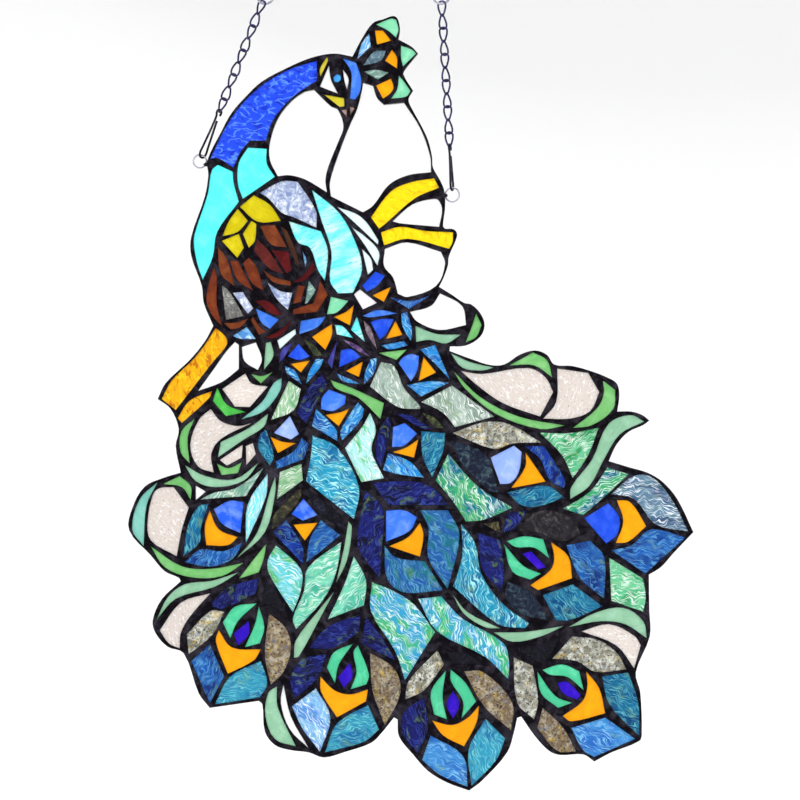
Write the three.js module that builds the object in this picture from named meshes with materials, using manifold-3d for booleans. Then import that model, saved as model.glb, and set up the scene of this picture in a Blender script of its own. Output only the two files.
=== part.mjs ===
// Stained glass peacock panel with two chains: a dark solder lattice, glass panes, rings, hooks and chains.
// Millimetres, +Z up, the front faces -Y. The origin is midway between the two end rings, at the height
// where the hooks in the wall or window frame bear inside them.
import * as THREE from 'three';
import { mergeVertices } from 'three/addons/utils/BufferGeometryUtils.js';
import Module from 'manifold-3d';

const wasm = await Module();
wasm.setup();

// The drawing is in picture units; this is the real size of one unit.
const UNIT = 0.82;
const CENTRE_X = 355.5;
const TOP_Y = 12.12;

// Panel
const SOLDER_DEPTH = 5.2;
const GLASS_THICK = 3;
const GAP = 0.3;
const OWN_PANES = 51;

// Hanging parts
const LINK_PITCH = 10.75;
const LINK_WIRE = 0.8;
const LINK_HALF = 6.08;
const LINK_RADIUS = 3.5;
const END_RING_RADIUS = 7;
const END_RING_WIRE = 1;
const HOOK_WIRE = 0.95;
const EYE_RADIUS = 2.5;
const PANEL_RING_WIRE = 0.7;

const GLASS = {
  cobalt: 0x1e4beb, cyanOpal: 0x55f0ff, straw: 0xd7c832, milk: 0xf5f5f5, sky: 0x3ca0f0, azure: 0x3c78eb,
  fleshMarble: 0xbea091, mint: 0x82dcaa, orange: 0xfaaf00, skyStreak: 0x6eb4f0, mistBlue: 0x7896a0,
  mistGreen: 0x96b9af, clear: 0xeef2f2, yellow: 0xfcee00, amber: 0xf0be00, cloud: 0xc8d7eb,
  aquaRipple: 0x6efaff, ice: 0xe1f8f8, olive: 0xd0be00, umber: 0x783719, darkUmber: 0x462814,
  garnet: 0x4b050c, garnetBrown: 0x551919, rust: 0x964114, smoke: 0x969691, sage: 0x8cbe9b,
  leafGreen: 0x6eb969, brightGreen: 0x4bb94b, jade: 0x78be9b, mintOpal: 0x4bc896, iceStripe: 0xa0e6f0,
  sageStripe: 0x96c3b4, meadowStripe: 0x96be96, greyStripe: 0xa5b9af, whiteStripe: 0xb4e6e1,
  tealStripe: 0x28a0be, jungleStripe: 0x3caa6e, greenStripe: 0x6ec896, aquaStripe: 0x78dce6,
  mintStripe: 0x82dcb4, lagoonStripe: 0x3ca0d2, skyStripe: 0x3296dc, blueStripe: 0x1e5aaa,
  navyStripe: 0x0f3296, deepStripe: 0x1e55a0, peacockStripe: 0x146e96, tealRipple: 0x3296b4,
  skyRipple: 0x3c8cd2, iceBlue: 0x8cbee1, royal: 0x194be1, royalFade: 0x3c6ee6, blueOpal: 0x3c78fa,
  paleBlue: 0x96b4ff, purple: 0x2d00be, azureStreak: 0x2d64be, indigoStreak: 0x0f1464, violet: 0x3c3c96,
  night: 0x0f0f1e, nightMoss: 0x28374b, charcoal: 0x322d32, pinkMarble: 0xaa969b, plumMarble: 0x785a8c,
  moss: 0x465032, mossMarble: 0x788769, bronzeMoss: 0x4b462d, bronzeMarble: 0x78694b,
  slateStreak: 0x6e8ca0,
};

const panes = [];
const pane = (name, glass, points) => panes.push({ name, glass, points });

// The outer edge and the panes, each as a few points of the drawing, joined by a smooth curve.
const rimPoints = [
  [373, 23.5], [384, 19.5], [393, 16.5], [397.5, 19], [400, 30], [398.5, 40], [412, 47.5], [418, 54],
  [405, 70], [403.5, 75], [413, 91], [408.5, 100], [413, 111], [421, 125.5], [428, 140.5], [432, 157],
  [433, 168], [440, 180.5], [444.5, 192], [445, 209], [443, 226], [445, 229], [453.5, 229.5], [457, 234],
  [455.5, 241], [451, 251], [448.5, 258], [448, 265], [443.5, 278], [439, 287], [452, 295], [464, 303],
  [471, 304.5], [480, 313], [484.5, 325], [480, 337], [466, 345.5], [450, 346.5], [449.5, 351],
  [471, 359], [490, 365], [504, 364.5], [520, 354.5], [535, 350.5], [547, 355], [554, 364.5], [572, 366],
  [592, 371.5], [607, 377.5], [616.5, 383.5], [619, 395], [617, 411.5], [631, 411.5], [642, 415],
  [649, 420.5], [643, 425], [628, 432], [616, 445], [608.5, 461], [630, 467.5], [647, 472.5],
  [662, 481.5], [677, 499], [693, 532], [673, 553], [661, 566.5], [648.5, 574.5], [649, 610],
  [649.5, 636], [635.5, 672], [640, 692], [641.5, 733], [639, 740.5], [611, 752], [594, 761], [583, 754],
  [560, 754.5], [549, 750.5], [535, 736], [521, 716], [517, 717.5], [514, 731], [507, 752], [482, 780],
  [469, 790], [447, 782], [428, 770.5], [413, 754], [399, 736], [397.5, 719], [394, 717], [382, 732],
  [371, 742.5], [345, 751.5], [324, 757], [309, 752], [290, 749.5], [275, 744.5], [265, 731],
  [262.5, 704], [259, 700.5], [210, 707.5], [199, 693], [184, 653], [168, 646.5], [156, 633], [153, 620],
  [162, 599], [181, 581], [179, 577.5], [165, 571], [151, 555], [129.5, 530], [133, 507], [145, 486.5],
  [163, 478], [181, 472.5], [176, 446], [179, 429], [171, 409], [158, 399], [166, 383], [190, 360],
  [205, 341.5], [213.5, 326], [204, 303], [202, 286], [191.5, 256], [191.5, 237], [205, 197],
  [208.5, 175], [207.5, 161], [222, 131], [232, 113], [246, 97], [262, 82], [290, 67], [312, 58],
  [334, 54], [352.5, 57], [362, 39]
];
pane("neck", "cobalt", [
  [317, 61], [317, 81], [291, 99], [273, 121], [266, 141], [250, 141], [241, 152], [233.5, 168],
  [218, 158.5], [210, 159.5], [232, 117.5], [258, 89], [288, 70.5]
]);
pane("chest_left", "cyanOpal", [
  [218, 165], [212, 170.5], [208, 194], [197, 227], [194, 241], [197, 262], [203, 280], [213, 257],
  [217.5, 232], [239, 202], [234, 184], [233, 172]
]);
pane("chest_right", "cyanOpal", [
  [248, 148], [267, 149], [267, 164], [275, 177], [257, 189.5], [243, 199], [238, 184], [239, 163]
]);
pane("brow", "straw", [[327, 57.5], [328, 61], [320.5, 77], [320, 69]]);
pane("eye_white", "milk", [[329, 66], [331, 80], [338, 94], [320, 87]]);
pane("eye_pupil", "sky", [[337, 74.5], [340.5, 76], [340.8, 80], [338, 82.8], [334.5, 82], [333.3, 78]]);
pane("eye_rear", "milk", [[343, 70], [348.5, 79], [347, 90], [344.5, 81]]);
pane("head", "azure", [
  [342.5, 58.5], [356, 63], [361, 78], [360, 92], [355, 100], [350, 99], [351, 88], [351, 72]
]);
pane("cheek", "straw", [[324, 95], [344, 98.5], [344.5, 106.5], [340, 107.5]]);
pane("bill_left", "fleshMarble", [[341.5, 110.5], [346.5, 109.5], [347, 118]]);
pane("bill_right", "fleshMarble", [[350, 107], [355, 108.5], [350, 116]]);
pane("crest_one", "mint", [[376, 25], [391, 19], [396, 20], [398.5, 30], [396, 38], [388, 31]]);
pane("crest_one_eye", "orange", [[375, 31], [383, 31], [391, 41], [377, 45]]);
pane("crest_one_root", "skyStreak", [[369, 34], [371, 47], [357, 60], [362, 43.5]]);
pane("crest_two", "mint", [[401, 46], [412, 50], [416, 54], [403, 67], [401, 58]]);
pane("crest_two_eye", "orange", [[392, 50], [397, 58], [397, 69], [385, 61]]);
pane("crest_two_root", "mistBlue", [[386, 51], [381, 61], [363, 66], [374, 52]]);
pane("crest_three", "mint", [[399, 76], [404, 82], [410.5, 91.5], [406, 97], [391, 99], [397, 90]]);
pane("crest_three_eye", "orange", [[391, 79], [393.5, 88], [390, 94], [383, 99], [376, 86]]);
pane("crest_three_root", "mistGreen", [[364, 72], [376, 70], [389, 73], [378, 80]]);
pane("pane_neck", "clear", [
  [314, 90], [331, 106.5], [338, 110], [343.5, 127], [338.8, 141], [328.7, 166], [325.5, 180],
  [327, 192.5], [306, 180], [290, 175.5], [278, 176.5], [270, 160], [270, 143], [278, 119], [291, 102],
  [304, 92.5]
]);
pane("pane_crest", "clear", [
  [350.5, 124], [357.5, 108.5], [362.5, 88], [363, 83], [373, 86], [377, 98], [384, 105], [404, 103],
  [420, 128], [430, 156], [431, 172.5], [408, 175.5], [389, 185], [373, 206], [363, 212.5], [352, 207],
  [331, 196.5], [330, 182], [341, 148]
]);
pane("pane_ribbons", "clear", [
  [392.5, 221.5], [412.5, 204.5], [434, 199], [439, 201], [442, 210], [439, 227], [400, 223.5]
]);
pane("pane_side", "clear", [
  [385, 249], [407, 242.5], [441, 252], [445, 264], [436, 286], [408, 297], [398, 294], [393, 277.5],
  [384, 266]
]);
pane("pane_hook", "clear", [
  [410, 312], [431, 306], [440, 293.5], [462, 306], [466, 325], [439, 330], [417, 321.5]
]);
pane("ribbon_top", "yellow", [
  [379, 229], [371, 217.5], [391, 191.5], [411, 182.5], [434, 178.5], [439, 188], [415, 198.5],
  [386, 223.5]
]);
pane("ribbon_low", "yellow", [
  [381, 232.5], [400, 227], [425, 231], [453, 232.5], [452.5, 242.5], [449, 249], [408, 239], [384, 245.5]
]);
pane("shoulder", "cloud", [
  [260, 193], [282, 181.5], [298, 182], [316, 211], [316.5, 228], [294, 217.5], [282, 213], [269, 199]
]);
pane("wing_inner", "aquaRipple", [
  [289, 221.5], [321, 231.5], [328, 251], [325, 281], [318, 270], [310, 248], [298, 242.5]
]);
pane("wing_outer", "aquaRipple", [
  [312, 190], [340, 214], [357, 246], [362, 270], [353, 293], [338, 293.5], [330, 281], [331.5, 252],
  [322, 222]
]);
pane("wing_plume_one", "ice", [[337, 207], [361, 217], [378, 240], [378, 245], [357, 225]]);
pane("wing_plume_two", "ice", [[352, 227.5], [365.5, 237], [379, 252], [377.5, 266], [366, 247]]);
pane("wing_plume_three", "ice", [[362, 249], [371, 259], [373, 270], [368, 275]]);
pane("wing_tip", "milk", [[354, 294.5], [360, 289.5], [377, 303], [363, 309.5]]);
pane("cap_top", "olive", [[254, 195.5], [270, 205], [281, 221], [258, 222], [240, 207]]);
pane("cap_left", "olive", [[238, 209], [248, 221], [238, 232], [222.5, 236.5], [229.5, 220.5]]);
pane("cap_right", "olive", [[251.5, 221], [256.5, 224], [255, 241], [249, 248], [243, 234]]);
pane("cap_low", "olive", [[239, 234], [244, 248], [237.5, 258], [222, 241]]);
pane("petal_01", "umber", [[260, 226], [275, 225], [287, 247.5], [271, 244.5]]);
pane("petal_02", "darkUmber", [[280, 226], [287, 231], [298, 258], [299, 268], [295.5, 262]]);
pane("petal_03", "garnet", [[271, 249.5], [288.5, 252], [292, 270], [287, 273.5]]);
pane("petal_04", "garnetBrown", [[257.5, 239.5], [268, 250], [284, 274], [270, 269], [254, 251]]);
pane("petal_05", "garnet", [[313.5, 262], [315, 270], [304, 281], [293, 282.5], [303, 275.5]]);
pane("petal_06", "umber", [[263, 270], [274, 277], [291, 281.5], [291, 286], [273, 282]]);
pane("petal_07", "umber", [[218, 247], [227, 259], [235, 286.5], [221, 274]]);
pane("petal_08", "rust", [[230, 261], [238, 261], [253.5, 291], [238, 280.5]]);
pane("petal_09", "rust", [[243, 263], [249, 257.5], [257, 268], [264, 291], [252, 283]]);
pane("petal_10", "rust", [[213.5, 267], [217, 276], [217, 305], [223, 327], [212, 315], [206.5, 298]]);
pane("petal_11", "umber", [[224, 323], [236, 322.5], [248.5, 318.5], [241, 327], [231, 329.5]]);
pane("petal_12", "umber", [[251, 320], [253, 316.5], [260, 327], [266, 332], [259, 335]]);
pane("petal_13", "garnet", [[264, 338], [279, 331], [293.5, 318.5], [283, 334], [273, 338.5]]);
pane("petal_14", "garnet", [[255, 301], [268, 301], [283, 315], [272, 314]]);
pane("petal_15", "rust", [
  [320, 280.5], [328, 295], [317, 312], [293, 314.5], [293, 309.5], [313, 303.5], [317.5, 292]
]);
pane("petal_16", "rust", [[298, 285.5], [305, 286], [301, 302], [293, 304]]);
pane("petal_17", "mistGreen", [[309, 281], [316, 290], [308, 302.5], [305, 304]]);
pane("petal_18", "cloud", [[268, 283], [280, 291], [292.5, 293], [288, 310], [276, 298]]);
pane("petal_19", "smoke", [[222, 285.5], [229, 291], [244, 316], [226, 320]]);
pane("petal_20", "cloud", [[233, 293], [243, 292], [253.5, 308.5], [248, 314]]);
pane("petal_21", "azure", [[256, 308.5], [279, 319.5], [270, 329], [261, 322]]);
pane("petal_22", "skyStreak", [[247, 327], [256, 339], [241, 339], [233, 336]]);
pane("petal_23", "ice", [[295.5, 329], [296, 334], [280, 349], [277.5, 340.5]]);
pane("petal_24", "skyStreak", [[302.5, 251], [306.5, 260], [305.5, 267.5]]);
pane("leg_ribbon", "amber", [
  [216, 328], [226, 337], [227, 345], [214, 361], [185, 398.5], [176, 410], [162, 399], [172, 380.5],
  [193, 360], [205, 345]
]);
pane("leg_ribbon_low", "amber", [[212.5, 391], [209, 398.5], [182, 423], [178, 418], [190, 400.5]]);
pane("pane_leg", "clear", [
  [235, 342], [239, 345], [239, 369], [222, 382], [198, 391], [215, 367.5], [226, 352]
]);
pane("pane_bud", "clear", [[242, 347], [256, 342.5], [262, 359], [258, 370], [244.5, 361]]);
pane("pane_fan", "clear", [
  [245.5, 373.5], [252, 383.5], [268, 386.5], [250, 407], [235, 406.5], [222.5, 389]
]);
pane("pane_left", "clear", [
  [211, 409], [221, 421], [238, 426], [252, 423], [221, 439], [211.5, 454], [214, 472.5], [198, 466],
  [190.5, 445], [199, 420]
]);
pane("pane_drop", "clear", [[243, 444.5], [242, 457.5], [227, 465.5], [220, 460], [229.5, 453.5]]);
pane("pane_slip", "clear", [[246, 446], [253, 443], [256, 454], [246.5, 465]]);
pane("pane_chip", "milk", [[196, 485.5], [206, 491.5], [196, 500]]);
pane("curl_01", "sage", [[266, 343], [271, 342], [273.5, 356], [264, 370]]);
pane("curl_02", "leafGreen", [[251, 374], [262, 376], [273, 372], [261, 383.5]]);
pane("curl_03", "brightGreen", [[217.5, 387.5], [227, 404.5], [246, 412], [226, 416], [213, 401]]);
pane("curl_04", "jade", [[282, 378], [280, 391], [264, 411], [241, 419.5], [262, 402], [274, 383]]);
pane("curl_05", "leafGreen", [[195, 418.5], [188, 437], [190, 463.5], [181, 452], [181.5, 431.5]]);
pane("curl_06", "sage", [
  [268.5, 413.5], [264, 426.5], [244, 439.5], [218, 457.5], [221, 442], [249, 428]
]);
pane("curl_07", "leafGreen", [[217, 463.5], [229, 468], [242, 462], [238, 473], [222, 475]]);
pane("curl_08", "sage", [
  [185, 465], [206, 476], [235, 479], [259, 462.5], [244, 480.5], [216, 487], [196, 481]
]);
pane("hook_ribbon", "sage", [
  [415.5, 326], [437, 334], [461, 334.5], [446, 343.5], [430, 340], [416, 342]
]);
pane("hook_tip", "leafGreen", [[476, 313.5], [481.5, 325], [476, 337], [465.5, 342.5], [472, 326]]);
pane("ribbon_02", "sage", [[450.5, 353], [470, 362], [494, 367.5], [482, 370.5], [462, 367.5]]);
pane("ribbon_03", "leafGreen", [[509, 365.5], [533, 352.5], [547, 360.5], [552, 377.5], [534, 365.5]]);
pane("ribbon_04", "leafGreen", [
  [453, 370.5], [480, 397], [518.5, 416.5], [565, 425.5], [540, 429], [496, 414], [465, 388.5]
]);
pane("pane_east", "clear", [
  [461, 371], [482, 374], [528, 368], [545, 377], [553, 392], [540, 416.5], [502.5, 403], [475, 383.5]
]);
pane("neck_tip_leaf", "leafGreen", [[378.5, 353], [407, 349.5], [396.5, 360]]);
pane("middle_ribbon", "leafGreen", [
  [330.5, 380], [352, 388], [384, 403], [380.5, 419], [358, 397.5], [336, 388.5]
]);
pane("curl_09", "leafGreen", [[163, 484], [180, 476], [191, 486], [191, 500], [182, 487]]);
pane("curl_10", "jade", [[158, 482], [147, 505], [144, 546], [132.5, 529], [140, 499]]);
pane("pane_spotted", "clear", [
  [160, 488], [174, 487], [189, 507.5], [182, 530], [177, 556], [151, 540], [148, 520], [153.5, 494]
]);
pane("curl_11", "leafGreen", [
  [151, 546], [182, 566], [212, 568.5], [244, 562.5], [222, 576], [191, 577], [165, 567]
]);
pane("curl_12", "sage", [[275.5, 476], [275.5, 492], [265, 532], [236, 559], [257, 533], [270.5, 490]]);
pane("pane_west_stripe", "iceStripe", [[268, 473], [266, 497], [246, 543], [248, 504]]);
pane("pane_west_fan", "sageStripe", [
  [200.5, 499.5], [214, 492.5], [236, 488], [264, 467.5], [246, 496], [224, 497.5]
]);
pane("curl_13", "sage", [
  [240, 571.5], [212, 580.5], [185, 584], [168, 597], [156.5, 620], [176, 598.5], [215, 586.5]
]);
pane("pane_low", "clear", [
  [210.5, 593], [190, 616.5], [181, 633], [180, 648], [169, 643], [160, 630], [181, 602.5]
]);
pane("curl_14", "leafGreen", [[266.5, 543.5], [264, 558], [259, 572], [239, 578.5], [254, 559]]);
pane("curl_15", "sage", [[334.5, 591], [319, 620], [299, 656], [294, 657.5], [296, 640], [318, 611]]);
pane("curl_16", "sage", [[277, 686], [278, 707], [296, 746], [275, 738.5], [265.5, 715], [268.5, 692.5]]);
pane("pane_sliver", "milk", [[283.5, 684], [291, 716], [309, 748], [290, 729], [281, 703]]);
pane("pane_stripe_01", "meadowStripe", [[289, 381], [301, 389], [294, 410], [271, 420], [281, 398]]);
pane("pane_stripe_02", "meadowStripe", [[280, 472], [301.5, 463.5], [303, 480], [277, 499]]);
pane("pane_stripe_03", "greyStripe", [
  [381, 362], [394, 366], [404, 388], [420, 406], [420, 409], [398, 407], [370, 386.5]
]);
pane("pane_stripe_04", "greyStripe", [[452, 385.5], [494, 416.5], [455, 427], [442, 412], [421, 402]]);
pane("pane_stripe_05", "whiteStripe", [
  [370, 412.5], [376, 430], [371.5, 450], [384, 478], [361.5, 482], [345, 448], [363, 425.5]
]);
pane("pane_stripe_06", "tealStripe", [
  [312.5, 435.5], [337, 447], [359, 487], [354, 519], [306, 481], [311, 455]
]);
pane("pane_stripe_07", "jungleStripe", [
  [448, 453.5], [478, 486.5], [512.5, 507.5], [484, 519.5], [466, 521.5], [452, 500], [435.5, 480]
]);
pane("pane_stripe_08", "greenStripe", [
  [539.5, 432.5], [569, 433], [598.5, 427.5], [588, 455], [572.5, 478], [562, 455.5]
]);
pane("pane_stripe_09", "jungleStripe", [
  [607, 467.5], [628.5, 474], [606, 495], [583, 515], [563, 508.5], [590, 491]
]);
pane("pane_stripe_10", "greenStripe", [
  [609, 557.5], [643, 578.5], [645.5, 597], [643, 611.5], [611, 600.5]
]);
pane("pane_stripe_11", "aquaStripe", [
  [276, 545], [301, 569], [301, 590], [293, 612], [269, 573], [268, 560]
]);
pane("pane_stripe_12", "mintStripe", [
  [341.5, 541.5], [336, 573], [323, 600], [296, 629], [293, 618], [304, 591], [308, 567.5]
]);
pane("pane_stripe_13", "mintStripe", [[354, 556], [366, 580], [364, 605], [328, 619], [344, 585]]);
pane("pane_stripe_14", "lagoonStripe", [
  [372, 582], [391, 589.5], [414, 604], [435, 632], [418, 659], [405, 680], [395, 650.5], [371, 611]
]);
pane("pane_stripe_15", "lagoonStripe", [
  [418, 598.5], [441, 596], [462, 618], [503, 642.5], [509, 662], [508, 679], [485, 656.5], [437, 631]
]);
pane("pane_stripe_16", "tealStripe", [
  [461, 523.5], [475, 543], [481, 573], [502, 603], [529, 623], [525, 628], [498, 624], [453, 586],
  [462, 556]
]);
pane("ribbon_05", "leafGreen", [
  [602.5, 380.5], [615, 390], [613, 409], [592, 425], [572.5, 428], [597, 408], [603.5, 393]
]);
pane("pane_far_east", "clear", [
  [557, 368.5], [588, 373], [599, 392], [590, 411], [570, 418.5], [543, 418.5], [556, 402]
]);
pane("ribbon_06", "sage", [
  [570, 499], [571, 487], [592, 459], [608, 424], [630, 415], [644, 421.5], [620, 434], [605, 457],
  [589, 486]
]);
pane("ribbon_07", "sage", [[452, 593], [467, 611.5], [500, 628], [485, 627], [463.5, 613]]);
pane("ribbon_08", "sage", [[493, 632], [525, 631.5], [564, 625.5], [541, 636], [512.5, 641.5]]);
pane("ribbon_09", "sage", [
  [568, 627], [595, 612.5], [623, 607.5], [643, 621], [646.5, 638], [625, 624], [600, 621]
]);
pane("ribbon_10", "sage", [[348.5, 521], [352, 527], [347, 560], [336, 583], [344, 548]]);
pane("pane_speckled", "clear", [
  [581, 631], [609, 624], [634, 635.5], [640.5, 645], [634, 668], [616, 645]
]);
pane("feather_01_eye", "royal", [[375.5, 271.5], [385, 276], [377, 286], [367, 292], [362, 286]]);
pane("feather_01_heart", "orange", [[391, 287], [384, 302], [372.5, 295.5]]);
pane("feather_01_tail", "azureStreak", [[390, 297.5], [412, 301], [431, 295], [409, 309]]);
pane("feather_02_eye", "royal", [[370.5, 322], [381, 319], [394, 319], [387, 332.5], [380, 340]]);
pane("feather_02_heart", "orange", [[395.5, 321], [402.5, 335], [386, 339]]);
pane("feather_02_top", "azure", [[362.5, 316], [378, 310], [397.5, 313.5], [370, 317.5]]);
pane("feather_02_side", "skyStripe", [[401, 314], [407, 312], [412, 330], [411, 341], [403, 328]]);
pane("feather_02_foot", "skyStripe", [[381, 345.5], [404, 341], [407.5, 345.5], [390, 349.5]]);
pane("feather_02_back", "pinkMarble", [[363.5, 320], [371, 329], [377, 349.5], [367, 334]]);
pane("feather_02_chip", "aquaRipple", [[357, 316.5], [365, 342], [351, 330]]);
pane("feather_02_slip", "aquaRipple", [[335, 325], [343, 326.5], [353, 338], [337, 334.5]]);
pane("feather_03_bud", "mint", [[331, 297], [348.5, 301], [337, 312.5], [327, 314.5]]);
pane("feather_03_heart", "orange", [[354, 305], [350, 325.5], [334, 317], [346, 312]]);
pane("feather_04_eye", "azure", [[301, 321], [326, 316.5], [318, 327], [299, 334.5]]);
pane("feather_04_heart", "orange", [[332, 324], [332, 335], [325.5, 350], [312, 337]]);
pane("feather_05_eye", "royal", [[298.5, 344], [310, 356.5], [299, 360], [288, 356.3]]);
pane("feather_05_heart", "orange", [[291, 364], [310, 360.5], [301, 372.5]]);
pane("feather_05_strip", "violet", [[293, 342], [284, 358], [279, 363], [282, 350]]);
pane("feather_05_moss", "moss", [[303, 338.5], [314, 345], [323, 356], [314, 355.5]]);
pane("feather_05_left", "skyStripe", [[285, 366], [295, 371], [302, 384.5], [287, 373]]);
pane("feather_05_right", "skyStripe", [[316, 359], [324, 359], [319, 369], [306, 384], [309, 372]]);
pane("feather_06_eye", "royal", [[341, 350.5], [351, 349], [361, 357], [339, 367.5]]);
pane("feather_06_heart", "orange", [[363, 361.5], [359, 377], [346, 371]]);
pane("feather_06_strip", "violet", [[337.5, 339.5], [332, 369], [327.5, 362]]);
pane("feather_06_plum", "plumMarble", [[342, 339], [358, 345.5], [370, 357], [355, 349.5]]);
pane("feather_06_left", "skyStripe", [[336, 373], [361, 384], [343, 381.5]]);
pane("feather_06_right", "skyStripe", [[371, 359], [377, 358], [374, 373], [364, 384.5], [365, 373]]);
pane("feather_07_eye", "blueOpal", [
  [403, 357.5], [411, 354], [419, 356], [417.3, 370], [411, 381.5], [398.5, 363]
]);
pane("feather_07_heart", "orange", [[423.5, 357], [436, 372.5], [418.5, 381]]);
pane("feather_07_top", "skyStripe", [[420, 349.5], [435, 345], [450, 380], [438, 367]]);
pane("feather_07_foot", "skyStripe", [[407, 385], [431, 381], [449, 382.5], [421, 396.5]]);
pane("feather_08_eye", "blueOpal", [
  [329, 389.5], [346, 396], [345, 404], [333, 411], [321, 409], [322, 398]
]);
pane("feather_08_heart", "orange", [[351, 407], [339, 427], [324.5, 414.5], [341, 411.5]]);
pane("feather_08_left", "skyStripe", [[316, 408.5], [336, 429], [337.5, 441], [312, 426]]);
pane("feather_08_right", "skyStripe", [
  [358, 402], [364, 409], [361, 420], [342, 440.5], [340.5, 431], [354, 408]
]);
pane("feather_08_dusk", "indigoStreak", [
  [322, 374], [327.5, 384], [318, 400], [306, 424], [297, 413], [306, 391]
]);
pane("feather_09_eye", "paleBlue", [[290, 416], [299, 434], [291, 439.5], [274, 433]]);
pane("feather_09_heart", "orange", [[270.5, 436.5], [282, 441.5], [296, 443], [278, 453]]);
pane("feather_09_left", "peacockStripe", [
  [266, 429], [274, 456], [270, 465.5], [258.5, 448], [260, 435]
]);
pane("feather_09_right", "blueStripe", [
  [302, 437.5], [309, 444], [304, 459], [277, 469], [276, 461], [294, 451]
]);
pane("feather_10_eye", "blueOpal", [[393, 427], [405, 423], [417, 433.5], [404, 445.5], [392, 447]]);
pane("feather_10_heart", "orange", [[418.5, 439], [414, 457.5], [392.5, 452], [406, 447.5]]);
pane("feather_10_foot", "skyStripe", [[388, 453], [410, 461.5], [424, 477.5], [400, 474.5], [383, 470]]);
pane("feather_10_side", "peacockStripe", [[421, 431], [445, 433], [443, 451], [432, 477], [422.5, 456]]);
pane("feather_10_crown", "indigoStreak", [
  [395.5, 413.5], [411, 415.5], [431, 428.5], [424, 429], [405, 419]
]);
pane("feather_10_moss", "moss", [[422, 412.5], [435, 418], [444, 428], [436, 427.5]]);
pane("feather_10_dusk", "indigoStreak", [
  [388, 416], [391, 425], [386, 449], [381, 468], [376, 456], [379, 430]
]);
pane("feather_11_eye", "royalFade", [[214, 509], [230, 500.5], [244, 502], [240.5, 533], [222, 523.5]]);
pane("feather_11_heart", "orange", [
  [210, 510.5], [219, 529], [238, 537], [228, 545], [206.5, 545], [205, 526]
]);
pane("feather_11_left", "peacockStripe", [
  [209, 503.5], [201, 528], [200, 542], [183.5, 556.5], [188, 526], [199, 506]
]);
pane("feather_11_foot", "blueStripe", [
  [201, 549], [223, 551], [243, 542], [232.5, 559], [210, 566.5], [185, 562]
]);
pane("feather_12_eye", "royalFade", [[303.5, 498.5], [317.5, 515], [303, 520.5], [291.5, 514]]);
pane("feather_12_heart", "orange", [[293.5, 524.5], [317.5, 522.5], [305, 540.5]]);
pane("feather_12_left", "navyStripe", [[286.5, 520], [303, 547], [303, 564], [273, 532]]);
pane("feather_12_right", "blueStripe", [[321, 520], [340.5, 535], [306, 563], [310, 539]]);
pane("feather_12_moss", "bronzeMoss", [
  [301, 487.5], [301, 496], [287, 515.5], [271.5, 530], [274.5, 514]
]);
pane("feather_12_dusk", "night", [[306.5, 487.5], [343, 516.5], [341, 527], [317, 512]]);
pane("feather_13_eye", "blueOpal", [[386, 510.5], [404, 510], [417, 517], [410, 530.5], [386, 541.5]]);
pane("feather_13_heart", "orange", [[420, 522.5], [423.5, 535], [420, 556.5], [389, 546], [408, 537]]);
pane("feather_13_foot", "deepStripe", [
  [384.5, 545], [395.5, 557], [425, 561], [443, 590], [403, 592], [387, 578]
]);
pane("feather_13_side", "deepStripe", [
  [420, 510], [448, 510], [459.5, 535], [447.5, 589], [428, 557], [428.5, 528]
]);
pane("feather_13_crown", "indigoStreak", [
  [372.5, 482.5], [409, 481], [431, 486.5], [449, 505], [388, 505]
]);
pane("feather_13_dusk", "indigoStreak", [
  [365, 490], [383, 509], [382, 547], [380, 578.5], [358, 546], [362, 508]
]);
pane("feather_14_eye", "paleBlue", [
  [490.5, 457.5], [514, 445.5], [521.5, 452], [519, 471], [511, 482.5], [500, 484]
]);
pane("feather_14_heart", "orange", [[525.5, 452.5], [545.5, 481.5], [511, 488], [525, 467]]);
pane("feather_14_crown", "mossMarble", [
  [452.5, 433], [484, 422], [509, 424], [541, 442.5], [512, 443.5], [494, 449]
]);
pane("feather_14_dusk", "nightMoss", [
  [450, 440], [485.5, 454.5], [498.5, 492.5], [490, 491], [463, 465.5]
]);
pane("feather_14_side", "navyStripe", [
  [524, 446], [544, 446], [564.5, 479], [564, 488], [550, 480.5], [540, 459]
]);
pane("feather_14_foot", "peacockStripe", [
  [507, 492], [546, 485.5], [564, 497], [538, 506.5], [521, 505]
]);
pane("feather_15_mint", "mintOpal", [
  [506.5, 541], [524, 536], [543, 539], [549, 558], [534, 547.5], [516, 547]
]);
pane("feather_15_leaf", "mintOpal", [[504, 544], [523, 565.5], [541, 573.5], [530, 579.5], [512, 571]]);
pane("feather_15_eye", "purple", [[522, 553.5], [531, 551], [546, 567], [538, 569]]);
pane("feather_15_heart", "orange", [
  [551, 542], [568, 556], [572, 578], [538, 590], [530, 585], [550, 570], [554, 558]
]);
pane("feather_15_crown", "charcoal", [
  [519, 531], [531, 513.5], [556, 511], [574, 521], [580, 534], [561, 541.5], [538, 532.5]
]);
pane("feather_15_side", "blueStripe", [[566, 545], [590, 540.5], [604, 557], [604, 598.5], [580, 578]]);
pane("feather_15_foot", "peacockStripe", [
  [572.5, 584], [602.5, 606], [571, 619.5], [556, 620], [542.5, 595]
]);
pane("feather_15_low", "nightMoss", [[507, 581], [531, 592.5], [549, 620], [519, 613], [505.5, 597]]);
pane("feather_15_dusk", "indigoStreak", [[478, 532.5], [500, 540], [504, 571], [501, 591.5], [482, 568]]);
pane("feather_15_plum", "indigoStreak", [[528, 510], [514, 528], [502.5, 532.5], [507, 513.5]]);
pane("feather_15_ember", "bronzeMoss", [[482.5, 523.5], [499, 521], [500, 532.5]]);
pane("feather_16_eye", "royal", [[584, 518], [608, 503], [619, 517], [617, 534], [606, 543.5]]);
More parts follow.
